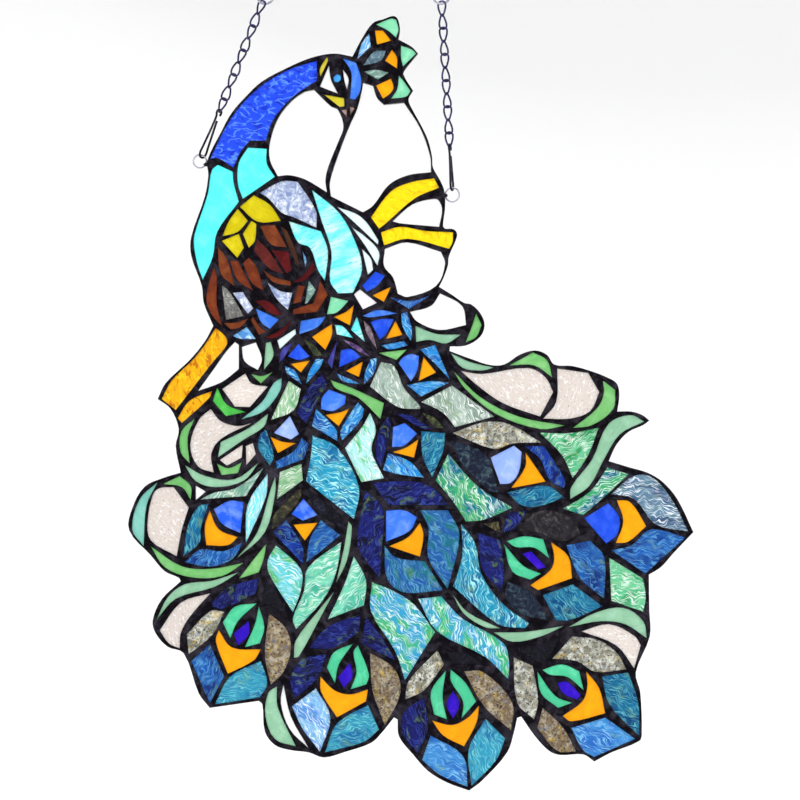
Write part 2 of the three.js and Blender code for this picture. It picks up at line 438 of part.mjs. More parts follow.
pane("feather_16_heart", "orange", [
  [616.5, 500], [630, 502], [646, 526], [628, 541.5], [615.5, 543], [623, 521]
]);
pane("feather_16_crown", "slateStreak", [
  [611, 494], [634, 475.5], [653, 478], [672, 500], [688, 531.5], [655, 524], [634, 499]
]);
pane("feather_16_foot", "blueStripe", [
  [648, 530], [664, 530.5], [685, 537.5], [645, 573.5], [611, 550], [632, 544.5]
]);
pane("feather_17_mint", "mintOpal", [[257, 603], [238, 621], [230.5, 638], [223, 622], [235, 606.5]]);
pane("feather_17_leaf", "mintOpal", [[259, 606], [264.5, 627], [260, 643], [245, 647], [255, 624]]);
pane("feather_17_eye", "purple", [[249, 620.5], [249, 634], [238, 645.5], [234, 633]]);
pane("feather_17_heart", "orange", [
  [219, 629.5], [232, 647], [261, 649], [254, 660], [228, 673.5], [216, 641]
]);
pane("feather_17_crown", "indigoStreak", [
  [212, 602], [228, 587], [259, 578], [256, 593], [223, 608.5], [213, 606.5]
]);
pane("feather_17_left", "mossMarble", [[211, 610.5], [224.5, 611.5], [213, 634], [189, 654], [187, 634]]);
pane("feather_17_foot_left", "blueStripe", [[210, 643.5], [224.5, 676], [210, 703], [191.5, 661]]);
pane("feather_17_foot_right", "tealRipple", [
  [261, 660.5], [267.5, 683], [260, 697], [215, 704], [230, 676.5]
]);
pane("feather_17_night", "night", [[266, 579], [277, 592], [288, 616], [262, 601]]);
pane("feather_17_bronze", "bronzeMarble", [
  [269, 613], [286, 628], [291, 648], [284, 671], [271, 684.5], [265, 655]
]);
pane("feather_18_mint", "mintOpal", [[353, 643.5], [339, 664], [335, 683], [327, 667], [334, 652]]);
pane("feather_18_leaf", "mintOpal", [
  [358, 645], [369, 674], [366.5, 684], [350.5, 689], [356.5, 672], [353.5, 652]
]);
pane("feather_18_eye", "purple", [[350, 662], [352.5, 676], [344, 688], [338, 677]]);
pane("feather_18_heart", "orange", [
  [320.5, 676], [334, 689.5], [350, 694], [368, 689], [366, 701], [337, 717], [321, 691]
]);
pane("feather_18_crown", "indigoStreak", [[360.5, 614], [359, 632], [332, 648], [309, 648], [327, 627]]);
pane("feather_18_night", "indigoStreak", [[366, 616], [382, 637.5], [396.5, 661], [361.5, 643]]);
pane("feather_18_bronze", "bronzeMarble", [
  [370, 652.5], [394, 668], [400.5, 692], [385, 725.5], [372.5, 690]
]);
pane("feather_18_left", "indigoStreak", [
  [326.5, 653.5], [318, 677], [295, 698], [290, 678], [302, 657.5]
]);
pane("feather_18_foot_left", "iceBlue", [[316, 688], [330.5, 717], [320, 751.5], [303, 729], [292, 706]]);
pane("feather_18_foot_right", "tealRipple", [
  [368, 704.5], [379, 729], [364, 741.5], [325, 752], [337, 723]
]);
pane("feather_19_mint", "mintOpal", [[446, 670], [442.5, 697], [447, 719], [434, 714], [431, 691]]);
pane("feather_19_leaf", "mintOpal", [
  [450.5, 669], [465, 682], [476, 701], [461.5, 718], [463, 701], [451, 681]
]);
pane("feather_19_eye", "purple", [[453, 690.5], [459.5, 704], [453, 718.5], [446.5, 704]]);
pane("feather_19_heart", "orange", [
  [432, 720], [452, 724.5], [468, 717], [479, 705], [476.5, 722], [464, 746], [443, 735]
]);
pane("feather_19_moss", "mossMarble", [[437.5, 650], [444, 664], [424, 690], [405, 699], [409, 680]]);
pane("feather_19_left", "indigoStreak", [[424, 697], [428, 729], [417, 753], [402, 733], [404, 712]]);
pane("feather_19_foot_left", "skyRipple", [
  [430.5, 735], [463, 755.5], [467.5, 786.5], [440, 774.5], [422, 759.5]
]);
pane("feather_19_foot_right", "tealRipple", [
  [485.5, 718.5], [505, 738], [496, 760], [471.5, 785.5], [468.5, 749]
]);
pane("feather_19_marble", "bronzeMarble", [[464, 671], [483, 671.5], [512, 702], [511, 730], [484, 706]]);
pane("feather_19_crown", "night", [[447, 652], [466, 653], [483, 664], [453, 664]]);
pane("feather_20_mint", "mintOpal", [
  [542, 669.5], [562, 664], [579, 671], [583.5, 690], [567, 676.5], [550, 674.5]
]);
pane("feather_20_leaf", "mintOpal", [[537, 671], [555, 695.5], [572, 702.5], [558, 707.5], [541, 693]]);
pane("feather_20_eye", "purple", [[557, 682.5], [567, 681.5], [580.5, 694.5], [577, 699.5], [563, 693]]);
pane("feather_20_heart", "orange", [
  [586, 671], [599, 688], [605, 713], [571, 721], [562.5, 715.5], [582, 701], [587, 687]
]);
pane("feather_20_crown", "mossMarble", [
  [552, 658.5], [572, 636], [598, 639.5], [617, 653], [626, 669], [595, 671.5], [577, 661]
]);
pane("feather_20_side", "peacockStripe", [[602, 676], [628, 672], [638, 702], [639, 735.5], [609, 704]]);
pane("feather_20_foot", "skyRipple", [[605, 717], [635, 738.5], [594, 756.5], [583, 750], [571, 727.5]]);
pane("feather_20_low", "bronzeMarble", [
  [542.5, 707.5], [562, 726], [576, 751], [557, 750.5], [537, 727.5]
]);
pane("feather_20_dusk", "mossMarble", [[513.5, 657], [532.5, 665.5], [538, 700], [534, 719], [517, 702]]);
pane("feather_20_night", "night", [[519, 650], [560, 637], [547, 659], [537, 662]]);

const toPlane = ([px, py]) => new THREE.Vector2((px - CENTRE_X) * UNIT, -(py + TOP_Y) * UNIT);

// A closed curve through the points that keeps sharp corners; longer spans get more pieces.
const CORNER = Math.cos(THREE.MathUtils.degToRad(50));
const curveThrough = (points, span) => {
  const count = points.length;
  const at = (i) => points[(i + count) % count];
  const before = [];
  const after = [];
  for (let i = 0; i < count; i += 1) {
    const into = at(i).clone().sub(at(i - 1)).normalize();
    const out = at(i + 1).clone().sub(at(i)).normalize();
    const along = at(i + 1).clone().sub(at(i - 1)).normalize();
    const sharp = into.dot(out) < CORNER;
    before.push(sharp ? into : along);
    after.push(sharp ? out : along);
  }
  const result = [];
  for (let i = 0; i < count; i += 1) {
    const from = at(i);
    const to = at(i + 1);
    const length = from.distanceTo(to);
    const start = after[i];
    const end = before[(i + 1) % count];
    const bend = start.angleTo(end);
    const steps = bend < 0.12 ? 1 : Math.max(1, Math.round(length / span));
    const bezier = new THREE.CubicBezierCurve(
      from,
      from.clone().addScaledVector(start, length / 3),
      to.clone().addScaledVector(end, -length / 3),
      to,
    );
    for (let step = 0; step < steps; step += 1) {
      result.push(bezier.getPoint(step / steps));
    }
  }
  return result;
};

// Moves a closed outline inwards by a distance.
const inset = (points, distance) => {
  const sense = THREE.ShapeUtils.area(points) > 0 ? 1 : -1;
  const count = points.length;
  return points.map((point, i) => {
    const into = point.clone().sub(points[(i + count - 1) % count]).normalize();
    const out = points[(i + 1) % count].clone().sub(point).normalize();
    const normalIn = new THREE.Vector2(-into.y, into.x).multiplyScalar(sense);
    const normalOut = new THREE.Vector2(-out.y, out.x).multiplyScalar(sense);
    const miter = normalIn.add(normalOut).normalize();
    const reach = Math.min(distance / Math.max(miter.dot(normalOut), 0.2), distance * 2.5);
    return point.clone().addScaledVector(miter, reach);
  });
};

const flat = (points, from, to, holes = []) => {
  const outer = THREE.ShapeUtils.isClockWise(points) ? [...points].reverse() : points;
  const shape = new THREE.Shape(outer);
  shape.holes = holes.map((hole) => new THREE.Path(hole));
  const body = new THREE.ExtrudeGeometry(shape, { depth: to - from, bevelEnabled: false, steps: 1 });
  body.rotateX(Math.PI / 2);
  body.translate(0, to, 0);
  return body;
};

const bare = (geometry) => {
  const copy = geometry.clone();
  copy.deleteAttribute('normal');
  copy.deleteAttribute('uv');
  return mergeVertices(copy, 1e-4);
};

const solid = (geometry) => {
  const merged = bare(geometry);
  const mesh = new wasm.Mesh({
    numProp: 3,
    vertProperties: new Float32Array(merged.attributes.position.array),
    triVerts: new Uint32Array(merged.index.array),
  });
  return new wasm.Manifold(mesh);
};

const back = (manifold) => {
  const mesh = manifold.getMesh();
  const geometry = new THREE.BufferGeometry();
  geometry.setAttribute('position', new THREE.BufferAttribute(mesh.vertProperties, 3));
  geometry.setIndex(new THREE.BufferAttribute(mesh.triVerts, 1));
  return geometry;
};

const group = new THREE.Group();
group.name = 'stained_glass_peacock_panel';
const add = (name, geometry, colour, options = {}) => {
  const flatSided = geometry.index ? geometry.toNonIndexed() : geometry;
  flatSided.computeVertexNormals();
  const material = new THREE.MeshStandardMaterial({ color: colour, ...options });
  const mesh = new THREE.Mesh(flatSided, material);
  mesh.name = name;
  group.add(mesh);
};

// The larger panes are bodies of their own; the small tiles stay in the lattice as sunken facets.
for (const item of panes) {
  item.corners = item.points.map(toPlane);
  item.area = Math.abs(THREE.ShapeUtils.area(item.corners));
}
const bySize = [...panes].sort((a, b) => b.area - a.area);
const own = bySize.slice(0, OWN_PANES);
const tiles = bySize.slice(OWN_PANES);
for (const item of own) {
  item.window = curveThrough(item.corners, 24);
}

const rim = curveThrough(rimPoints.map(toPlane), 22);
const halfDepth = SOLDER_DEPTH / 2;
const halfGlass = GLASS_THICK / 2;
let lattice = solid(flat(rim, -halfDepth, halfDepth, own.map((item) => item.window)));
for (const item of tiles) {
  lattice = lattice.subtract(solid(flat(item.corners, -halfDepth - 1, -halfGlass)));
}
add('solder_lattice', back(lattice), 0x26222a, { roughness: 0.45, metalness: 0.6 });

for (const item of own) {
  const look = item.glass === 'clear' ? { transparent: true, opacity: 0.3 } : { roughness: 0.12 };
  add(`${item.name}_glass`, flat(inset(item.window, GAP), -halfGlass, halfGlass), GLASS[item.glass], look);
}

// A ring that faces the viewer, centred at (x, 0, z).
const ring = (x, z, radius, wire, sides, steps) => {
  const body = new THREE.TorusGeometry(radius, wire, sides, steps);
  body.rotateX(Math.PI / 2);
  body.translate(x, 0, z);
  return body;
};

// One oval link, its long axis along Z, turned about that axis.
const link = (turn) => {
  const body = new THREE.TorusGeometry(LINK_RADIUS, LINK_WIRE, 4, 8);
  body.rotateZ(Math.PI / 8);
  const stretch = LINK_HALF - LINK_RADIUS * Math.cos(Math.PI / 8);
  const position = body.attributes.position;
  for (let i = 0; i < position.count; i += 1) {
    position.setY(i, position.getY(i) + Math.sign(position.getY(i)) * stretch);
  }
  body.rotateX(Math.PI / 2);
  body.rotateZ(turn);
  return body;
};

// The bent wire hook: an eye above, a long narrow loop below, the free end beside the shank.
const hook = (length, turn) => {
  const bend = [
    [1.9, 2.2], [2.5, 0], [1.7, -1.8], [0, -2.5], [-1.7, -1.8], [-2.5, 0], [-1.5, 2.9], [-1.4, 9],
    [-2.9, length - 9], [-3.3, length - 3.6], [-2.3, length - 1], [0, length], [2.3, length - 1],
    [3.3, length - 3.6], [2.9, length - 9], [1.3, 9], [1.2, 6.8],
  ].map(([across, down]) => new THREE.Vector3(across, 0, -down));
  const section = new THREE.Shape();
  section.moveTo(HOOK_WIRE, 0);
  for (let i = 1; i < 5; i += 1) {
    const angle = (i * 2 * Math.PI) / 5;
    section.lineTo(HOOK_WIRE * Math.cos(angle), HOOK_WIRE * Math.sin(angle));
  }
  const body = new THREE.ExtrudeGeometry(section, {
    steps: 30,
    bevelEnabled: false,
    extrudePath: new THREE.CatmullRomCurve3(bend),
  });
  body.rotateZ(turn);
  return body;
};

// Each side hangs on a straight line from its end ring down to its panel ring.
const hang = (side, endX, ringX, ringZ, ringRadius, links, hookTurn) => {
  const end = new THREE.Vector3(endX, 0, -(END_RING_RADIUS - END_RING_WIRE));
  const low = new THREE.Vector3(ringX, 0, ringZ);
  const down = low.clone().sub(end).normalize();
  const lean = Math.atan2(-down.x, -down.z);
  const place = (body, distance) => {
    const point = end.clone().addScaledVector(down, distance);
    body.rotateY(lean);
    body.translate(point.x, 0, point.z);
    return body;
  };
  add(`end_ring_${side}`, ring(end.x, end.z, END_RING_RADIUS, END_RING_WIRE, 6, 12), 0x8c8c96,
    { metalness: 0.9 });
  const first = END_RING_RADIUS - END_RING_WIRE - LINK_WIRE - GAP + LINK_HALF;
  let chain = null;
  for (let i = 0; i < links; i += 1) {
    const body = solid(place(link(i % 2 ? Math.PI / 4 : -Math.PI / 4), first + i * LINK_PITCH));
    chain = chain ? chain.add(body) : body;
  }
  add(`chain_${side}`, back(chain), 0x2e2c4a, { metalness: 0.8 });
  const eye = first + (links - 1) * LINK_PITCH + LINK_HALF + EYE_RADIUS - HOOK_WIRE - LINK_WIRE - GAP;
  const bar = low.distanceTo(end) - ringRadius + PANEL_RING_WIRE + HOOK_WIRE + GAP;
  add(`snap_hook_${side}`, place(hook(bar - eye, hookTurn), eye), 0x2a2840, { metalness: 0.8 });
  add(`panel_ring_${side}`, ring(low.x, low.z, ringRadius, PANEL_RING_WIRE, 4, 12), 0xc0c0c8,
    { metalness: 0.9 });
};

const leftEnd = toPlane([265.3, 0]);
const rightEnd = toPlane([441.3, 0]);
const leftRing = toPlane([199.9, 161.3]);
const rightRing = toPlane([452.4, 194.8]);
hang('left', leftEnd.x, leftRing.x, leftRing.y, 5.3, 9, THREE.MathUtils.degToRad(50));
hang('right', rightEnd.x, rightRing.x, rightRing.y, 5.7, 11, THREE.MathUtils.degToRad(70));

export default group;
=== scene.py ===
# Stained glass peacock panel on two chains: solder seams, glass panes, rings, hooks and links.
import math
import random
import bpy
import bmesh
from mathutils import Matrix, Vector


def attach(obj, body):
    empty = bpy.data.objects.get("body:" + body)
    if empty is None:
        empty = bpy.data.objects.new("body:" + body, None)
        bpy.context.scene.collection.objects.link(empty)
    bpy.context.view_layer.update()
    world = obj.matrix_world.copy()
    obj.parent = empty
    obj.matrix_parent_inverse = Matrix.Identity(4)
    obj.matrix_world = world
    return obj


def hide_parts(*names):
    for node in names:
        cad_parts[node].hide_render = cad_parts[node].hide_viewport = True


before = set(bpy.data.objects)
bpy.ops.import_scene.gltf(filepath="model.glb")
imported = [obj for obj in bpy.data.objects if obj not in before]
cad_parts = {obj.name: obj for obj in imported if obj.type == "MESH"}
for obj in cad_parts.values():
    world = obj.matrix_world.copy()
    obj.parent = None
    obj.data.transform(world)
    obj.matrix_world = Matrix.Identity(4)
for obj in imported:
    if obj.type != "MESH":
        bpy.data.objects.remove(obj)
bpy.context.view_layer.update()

random.seed(11)

# One unit of the drawing in metres, and the place of the frame's origin in the drawing.
unit = 0.00082
centreX = 355.5
topY = 12.12


def toPlane(point):
    return Vector(((point[0] - centreX) * unit, -(point[1] + topY) * unit))


def rgb(red, green, blue):
    out = []
    for value in (red / 255, green / 255, blue / 255):
        out.append(value / 12.92 if value <= 0.04045 else ((value + 0.055) / 1.055) ** 2.4)
    return (out[0], out[1], out[2], 1.0)


# Each kind of glass under its way of being made: its body colour, light colour and deep colour.
glassWays = {
    "ripple": {
        "cobalt": ((28, 72, 232), (88, 140, 255), (14, 46, 196)),
        "yellow": ((252, 212, 0), (255, 224, 10), (226, 182, 0)),
        "amber": ((242, 172, 0), (255, 204, 14), (196, 112, 0)),
    },
    "crackle": {
        "aquaRipple": ((110, 248, 255), (205, 255, 252), (60, 196, 215)),
    },
    "opal": {
        "cyanOpal": ((85, 250, 255), (120, 255, 255), (62, 226, 244)),
        "straw": ((212, 198, 48), (232, 222, 92), (180, 160, 20)),
        "milk": ((245, 245, 247), (255, 255, 255), (224, 230, 236)),
        "sky": ((60, 160, 240), (120, 200, 255), (30, 110, 200)),
        "azure": ((58, 118, 232), (110, 165, 250), (30, 80, 190)),
        "mint": ((130, 218, 172), (172, 240, 204), (100, 188, 142)),
        "orange": ((248, 160, 0), (254, 180, 6), (232, 132, 0)),
        "olive": ((208, 190, 0), (226, 212, 34), (168, 148, 0)),
        "umber": ((112, 50, 22), (150, 78, 38), (74, 28, 12)),
        "darkUmber": ((70, 38, 20), (98, 58, 32), (42, 20, 12)),
        "garnet": ((76, 6, 12), (108, 18, 22), (50, 0, 6)),
        "garnetBrown": ((86, 26, 24), (120, 42, 34), (56, 12, 14)),
        "rust": ((106, 42, 18), (150, 70, 30), (70, 26, 12)),
        "sage": ((140, 190, 156), (168, 212, 184), (110, 164, 126)),
        "leafGreen": ((112, 184, 106), (144, 206, 136), (84, 152, 80)),
        "brightGreen": ((74, 184, 74), (104, 208, 100), (50, 148, 54)),
        "jade": ((120, 190, 176), (150, 212, 200), (90, 162, 148)),
        "mintOpal": ((74, 198, 148), (112, 226, 178), (48, 166, 118)),
        "royal": ((26, 76, 226), (64, 114, 248), (12, 48, 184)),
        "royalFade": ((36, 96, 240), (136, 176, 252), (20, 66, 206)),
        "blueOpal": ((60, 120, 248), (126, 170, 255), (38, 86, 214)),
        "paleBlue": ((148, 178, 252), (194, 212, 255), (110, 148, 238)),
        "purple": ((44, 0, 188), (70, 22, 216), (28, 0, 138)),
        "violet": ((60, 60, 150), (90, 90, 190), (34, 34, 104)),
        "ice": ((226, 248, 249), (246, 255, 255), (196, 232, 236)),
    },
    "marble": {
        "cloud": ((216, 226, 242), (252, 254, 255), (128, 144, 190)),
        "smoke": ((150, 150, 146), (206, 206, 200), (98, 98, 96)),
        "fleshMarble": ((188, 158, 144), (226, 206, 192), (118, 88, 84)),
        "mistBlue": ((120, 150, 162), (194, 214, 220), (78, 104, 120)),
        "mistGreen": ((150, 184, 174), (214, 232, 228), (108, 144, 134)),
        "pinkMarble": ((170, 150, 155), (228, 216, 216), (108, 90, 108)),
        "plumMarble": ((118, 90, 138), (192, 172, 202), (58, 40, 88)),
        "moss": ((70, 80, 50), (122, 132, 82), (34, 40, 30)),
        "bronzeMoss": ((74, 70, 46), (112, 106, 72), (34, 34, 30)),
        "nightMoss": ((40, 56, 76), (74, 96, 96), (14, 20, 40)),
        "charcoal": ((50, 46, 50), (88, 84, 88), (24, 20, 28)),
        "night": ((14, 14, 30), (42, 42, 64), (4, 4, 12)),
    },
    "mottle": {
        "mossMarble": ((128, 126, 112), (214, 216, 206), (30, 30, 36)),
        "bronzeMarble": ((116, 98, 76), (176, 166, 142), (44, 36, 44)),
    },
    "streak": {
        "iceStripe": ((140, 212, 226), (252, 255, 255), (104, 226, 240)),
        "sageStripe": ((146, 192, 176), (246, 252, 249), (106, 160, 136)),
        "meadowStripe": ((146, 188, 148), (250, 255, 250), (104, 166, 116)),
        "greyStripe": ((160, 180, 170), (250, 255, 252), (132, 154, 140)),
        "whiteStripe": ((168, 224, 226), (252, 255, 255), (86, 188, 128)),
        "tealStripe": ((30, 150, 186), (172, 242, 242), (18, 98, 150)),
        "jungleStripe": ((56, 168, 106), (228, 252, 238), (18, 108, 140)),
        "greenStripe": ((104, 196, 146), (246, 255, 249), (38, 148, 88)),
        "aquaStripe": ((104, 206, 222), (238, 255, 255), (84, 186, 118)),
        "mintStripe": ((116, 212, 180), (238, 255, 247), (66, 176, 150)),
        "lagoonStripe": ((52, 156, 208), (228, 251, 246), (58, 176, 118)),
        "skyStripe": ((38, 138, 214), (154, 218, 246), (14, 78, 168)),
        "blueStripe": ((28, 88, 168), (84, 154, 208), (14, 48, 118)),
        "navyStripe": ((14, 50, 150), (62, 114, 194), (8, 24, 90)),
        "deepStripe": ((28, 84, 160), (88, 154, 204), (24, 108, 120)),
        "peacockStripe": ((18, 108, 150), (94, 184, 198), (8, 68, 120)),
        "tealRipple": ((48, 148, 180), (114, 204, 214), (28, 108, 160)),
        "skyRipple": ((58, 138, 210), (130, 194, 238), (38, 102, 190)),
        "iceBlue": ((128, 184, 226), (228, 242, 252), (78, 138, 210)),
        "skyStreak": ((108, 178, 238), (222, 242, 255), (68, 138, 218)),
        "azureStreak": ((44, 98, 190), (104, 164, 228), (24, 58, 140)),
        "indigoStreak": ((14, 20, 98), (44, 60, 150), (4, 4, 38)),
        "slateStreak": ((92, 128, 154), (236, 246, 251), (58, 84, 120)),
    },
    "clear": {
        "clear": ((255, 255, 255), (255, 255, 255), (240, 244, 244)),
    },
    "frosted": {
        "clearTextured": ((228, 216, 208), (255, 255, 255), (150, 136, 132)),
    },
}
glassKinds = {kind: (way, tones) for way, group in glassWays.items() for kind, tones in group.items()}
texturedPanes = {
    "pane_spotted", "pane_left", "pane_fan", "pane_drop", "pane_slip", "pane_low", "pane_speckled",
    "pane_east", "pane_far_east",
}

panes = []


def pairs(*numbers):
    return list(zip(numbers[::2], numbers[1::2]))


def pane(name, kind, *numbers):
    kind = "clearTextured" if name in texturedPanes else kind
    panes.append({"name": name, "kind": kind, "points": pairs(*numbers)})


def feather(number, **parts):
    for part, (kind, *numbers) in parts.items():
        pane("feather_" + number + "_" + part, kind, *numbers)


def series(word, first, *parts):
    for number, (kind, *numbers) in enumerate(parts, first):
        pane(f"{word}_{number:02d}", kind, *numbers)


# The outer edge and the panes as a few points of the drawing each, x and y in turn.
rimPoints = pairs(
    373,23.5, 384,19.5, 393,16.5, 397.5,19, 400,30, 398.5,40, 412,47.5, 418,54, 405,70, 403.5,75, 413,91,
    408.5,100, 413,111, 421,125.5, 428,140.5, 432,157, 433,168, 440,180.5, 444.5,192, 445,209, 443,226,
    445,229, 453.5,229.5, 457,234, 455.5,241, 451,251, 448.5,258, 448,265, 443.5,278, 439,287, 452,295,
    464,303, 471,304.5, 480,313, 484.5,325, 480,337, 466,345.5, 450,346.5, 449.5,351, 471,359, 490,365,
    504,364.5, 520,354.5, 535,350.5, 547,355, 554,364.5, 572,366, 592,371.5, 607,377.5, 616.5,383.5, 619,395,
    617,411.5, 631,411.5, 642,415, 649,420.5, 643,425, 628,432, 616,445, 608.5,461, 630,467.5, 647,472.5,
    662,481.5, 677,499, 693,532, 673,553, 661,566.5, 648.5,574.5, 649,610, 649.5,636, 635.5,672, 640,692,
    641.5,733, 639,740.5, 611,752, 594,761, 583,754, 560,754.5, 549,750.5, 535,736, 521,716, 517,717.5,
    514,731, 507,752, 482,780, 469,790, 447,782, 428,770.5, 413,754, 399,736, 397.5,719, 394,717, 382,732,
    371,742.5, 345,751.5, 324,757, 309,752, 290,749.5, 275,744.5, 265,731, 262.5,704, 259,700.5, 210,707.5,
    199,693, 184,653, 168,646.5, 156,633, 153,620, 162,599, 181,581, 179,577.5, 165,571, 151,555, 129.5,530,
    133,507, 145,486.5, 163,478, 181,472.5, 176,446, 179,429, 171,409, 158,399, 166,383, 190,360, 205,341.5,
    213.5,326, 204,303, 202,286, 191.5,256, 191.5,237, 205,197, 208.5,175, 207.5,161, 222,131, 232,113,
    246,97, 262,82, 290,67, 312,58, 334,54, 352.5,57, 362,39
)
pane("neck", "cobalt", 317,61, 317,81, 291,99, 273,121, 266,141, 250,141, 241,152, 233.5,168, 218,158.5,
     210,159.5, 232,117.5, 258,89, 288,70.5)
pane("chest_left", "cyanOpal", 218,165, 212,170.5, 208,194, 197,227, 194,241, 197,262, 203,280, 213,257,
     217.5,232, 239,202, 234,184, 233,172)
pane("chest_right", "cyanOpal", 248,148, 267,149, 267,164, 275,177, 257,189.5, 243,199, 238,184, 239,163)
pane("brow", "straw", 327,57.5, 328,61, 320.5,77, 320,69)
pane("eye_white", "milk", 329,66, 331,80, 338,94, 320,87)
pane("eye_pupil", "sky", 337,74.5, 340.5,76, 340.8,80, 338,82.8, 334.5,82, 333.3,78)
pane("eye_rear", "milk", 343,70, 348.5,79, 347,90, 344.5,81)
pane("head", "azure", 342.5,58.5, 356,63, 361,78, 360,92, 355,100, 350,99, 351,88, 351,72)
pane("cheek", "straw", 324,95, 344,98.5, 344.5,106.5, 340,107.5)
pane("bill_left", "fleshMarble", 341.5,110.5, 346.5,109.5, 347,118)
pane("bill_right", "fleshMarble", 350,107, 355,108.5, 350,116)
pane("crest_one", "mint", 376,25, 391,19, 396,20, 398.5,30, 396,38, 388,31)
pane("crest_one_eye", "orange", 375,31, 383,31, 391,41, 377,45)
pane("crest_one_root", "skyStreak", 369,34, 371,47, 357,60, 362,43.5)
pane("crest_two", "mint", 401,46, 412,50, 416,54, 403,67, 401,58)
pane("crest_two_eye", "orange", 392,50, 397,58, 397,69, 385,61)
pane("crest_two_root", "mistBlue", 386,51, 381,61, 363,66, 374,52)
pane("crest_three", "mint", 399,76, 404,82, 410.5,91.5, 406,97, 391,99, 397,90)
pane("crest_three_eye", "orange", 391,79, 393.5,88, 390,94, 383,99, 376,86)
pane("crest_three_root", "mistGreen", 364,72, 376,70, 389,73, 378,80)
pane("pane_neck", "clear", 314,90, 331,106.5, 338,110, 343.5,127, 338.8,141, 328.7,166, 325.5,180, 327,192.5,
     306,180, 290,175.5, 278,176.5, 270,160, 270,143, 278,119, 291,102, 304,92.5)
pane("pane_crest", "clear", 350.5,124, 357.5,108.5, 362.5,88, 363,83, 373,86, 377,98, 384,105, 404,103,
     420,128, 430,156, 431,172.5, 408,175.5, 389,185, 373,206, 363,212.5, 352,207, 331,196.5, 330,182,
     341,148)
pane("pane_ribbons", "clear", 392.5,221.5, 412.5,204.5, 434,199, 439,201, 442,210, 439,227, 400,223.5)
pane("pane_side", "clear", 385,249, 407,242.5, 441,252, 445,264, 436,286, 408,297, 398,294, 393,277.5,
     384,266)
pane("pane_hook", "clear", 410,312, 431,306, 440,293.5, 462,306, 466,325, 439,330, 417,321.5)
pane("ribbon_top", "yellow", 379,229, 371,217.5, 391,191.5, 411,182.5, 434,178.5, 439,188, 415,198.5,
     386,223.5)
pane("ribbon_low", "yellow", 381,232.5, 400,227, 425,231, 453,232.5, 452.5,242.5, 449,249, 408,239, 384,245.5)
pane("shoulder", "cloud", 260,193, 282,181.5, 298,182, 316,211, 316.5,228, 294,217.5, 282,213, 269,199)
pane("wing_inner", "aquaRipple", 289,221.5, 321,231.5, 328,251, 325,281, 318,270, 310,248, 298,242.5)
pane("wing_outer", "aquaRipple", 312,190, 340,214, 357,246, 362,270, 353,293, 338,293.5, 330,281, 331.5,252,
     322,222)
pane("wing_plume_one", "ice", 337,207, 361,217, 378,240, 378,245, 357,225)
pane("wing_plume_two", "ice", 352,227.5, 365.5,237, 379,252, 377.5,266, 366,247)
pane("wing_plume_three", "ice", 362,249, 371,259, 373,270, 368,275)
pane("wing_tip", "milk", 354,294.5, 360,289.5, 377,303, 363,309.5)
pane("cap_top", "olive", 254,195.5, 270,205, 281,221, 258,222, 240,207)
pane("cap_left", "olive", 238,209, 248,221, 238,232, 222.5,236.5, 229.5,220.5)
pane("cap_right", "olive", 251.5,221, 256.5,224, 255,241, 249,248, 243,234)
pane("cap_low", "olive", 239,234, 244,248, 237.5,258, 222,241)
series("petal", 1,
    ("umber", 260,226, 275,225, 287,247.5, 271,244.5),
    ("darkUmber", 280,226, 287,231, 298,258, 299,268, 295.5,262),
    ("garnet", 271,249.5, 288.5,252, 292,270, 287,273.5),
    ("garnetBrown", 257.5,239.5, 268,250, 284,274, 270,269, 254,251),
    ("garnet", 313.5,262, 315,270, 304,281, 293,282.5, 303,275.5),
    ("umber", 263,270, 274,277, 291,281.5, 291,286, 273,282),
    ("umber", 218,247, 227,259, 235,286.5, 221,274),
    ("rust", 230,261, 238,261, 253.5,291, 238,280.5),
    ("rust", 243,263, 249,257.5, 257,268, 264,291, 252,283),
    ("rust", 213.5,267, 217,276, 217,305, 223,327, 212,315, 206.5,298),
    ("umber", 224,323, 236,322.5, 248.5,318.5, 241,327, 231,329.5),
    ("umber", 251,320, 253,316.5, 260,327, 266,332, 259,335),
    ("garnet", 264,338, 279,331, 293.5,318.5, 283,334, 273,338.5),
    ("garnet", 255,301, 268,301, 283,315, 272,314),
    ("rust", 320,280.5, 328,295, 317,312, 293,314.5, 293,309.5, 313,303.5, 317.5,292),
    ("rust", 298,285.5, 305,286, 301,302, 293,304),
    ("mistGreen", 309,281, 316,290, 308,302.5, 305,304),
    ("cloud", 268,283, 280,291, 292.5,293, 288,310, 276,298),
    ("smoke", 222,285.5, 229,291, 244,316, 226,320),
    ("cloud", 233,293, 243,292, 253.5,308.5, 248,314),
    ("azure", 256,308.5, 279,319.5, 270,329, 261,322),
    ("skyStreak", 247,327, 256,339, 241,339, 233,336),
    ("ice", 295.5,329, 296,334, 280,349, 277.5,340.5),
    ("skyStreak", 302.5,251, 306.5,260, 305.5,267.5),
)
pane("leg_ribbon", "amber", 216,328, 226,337, 227,345, 214,361, 185,398.5, 176,410, 162,399, 172,380.5,
     193,360, 205,345)
pane("leg_ribbon_low", "amber", 212.5,391, 209,398.5, 182,423, 178,418, 190,400.5)
pane("pane_leg", "clear", 235,342, 239,345, 239,369, 222,382, 198,391, 215,367.5, 226,352)
pane("pane_bud", "clear", 242,347, 256,342.5, 262,359, 258,370, 244.5,361)
pane("pane_fan", "clear", 245.5,373.5, 252,383.5, 268,386.5, 250,407, 235,406.5, 222.5,389)
pane("pane_left", "clear", 211,409, 221,421, 238,426, 252,423, 221,439, 211.5,454, 214,472.5, 198,466,
     190.5,445, 199,420)
pane("pane_drop", "clear", 243,444.5, 242,457.5, 227,465.5, 220,460, 229.5,453.5)
pane("pane_slip", "clear", 246,446, 253,443, 256,454, 246.5,465)
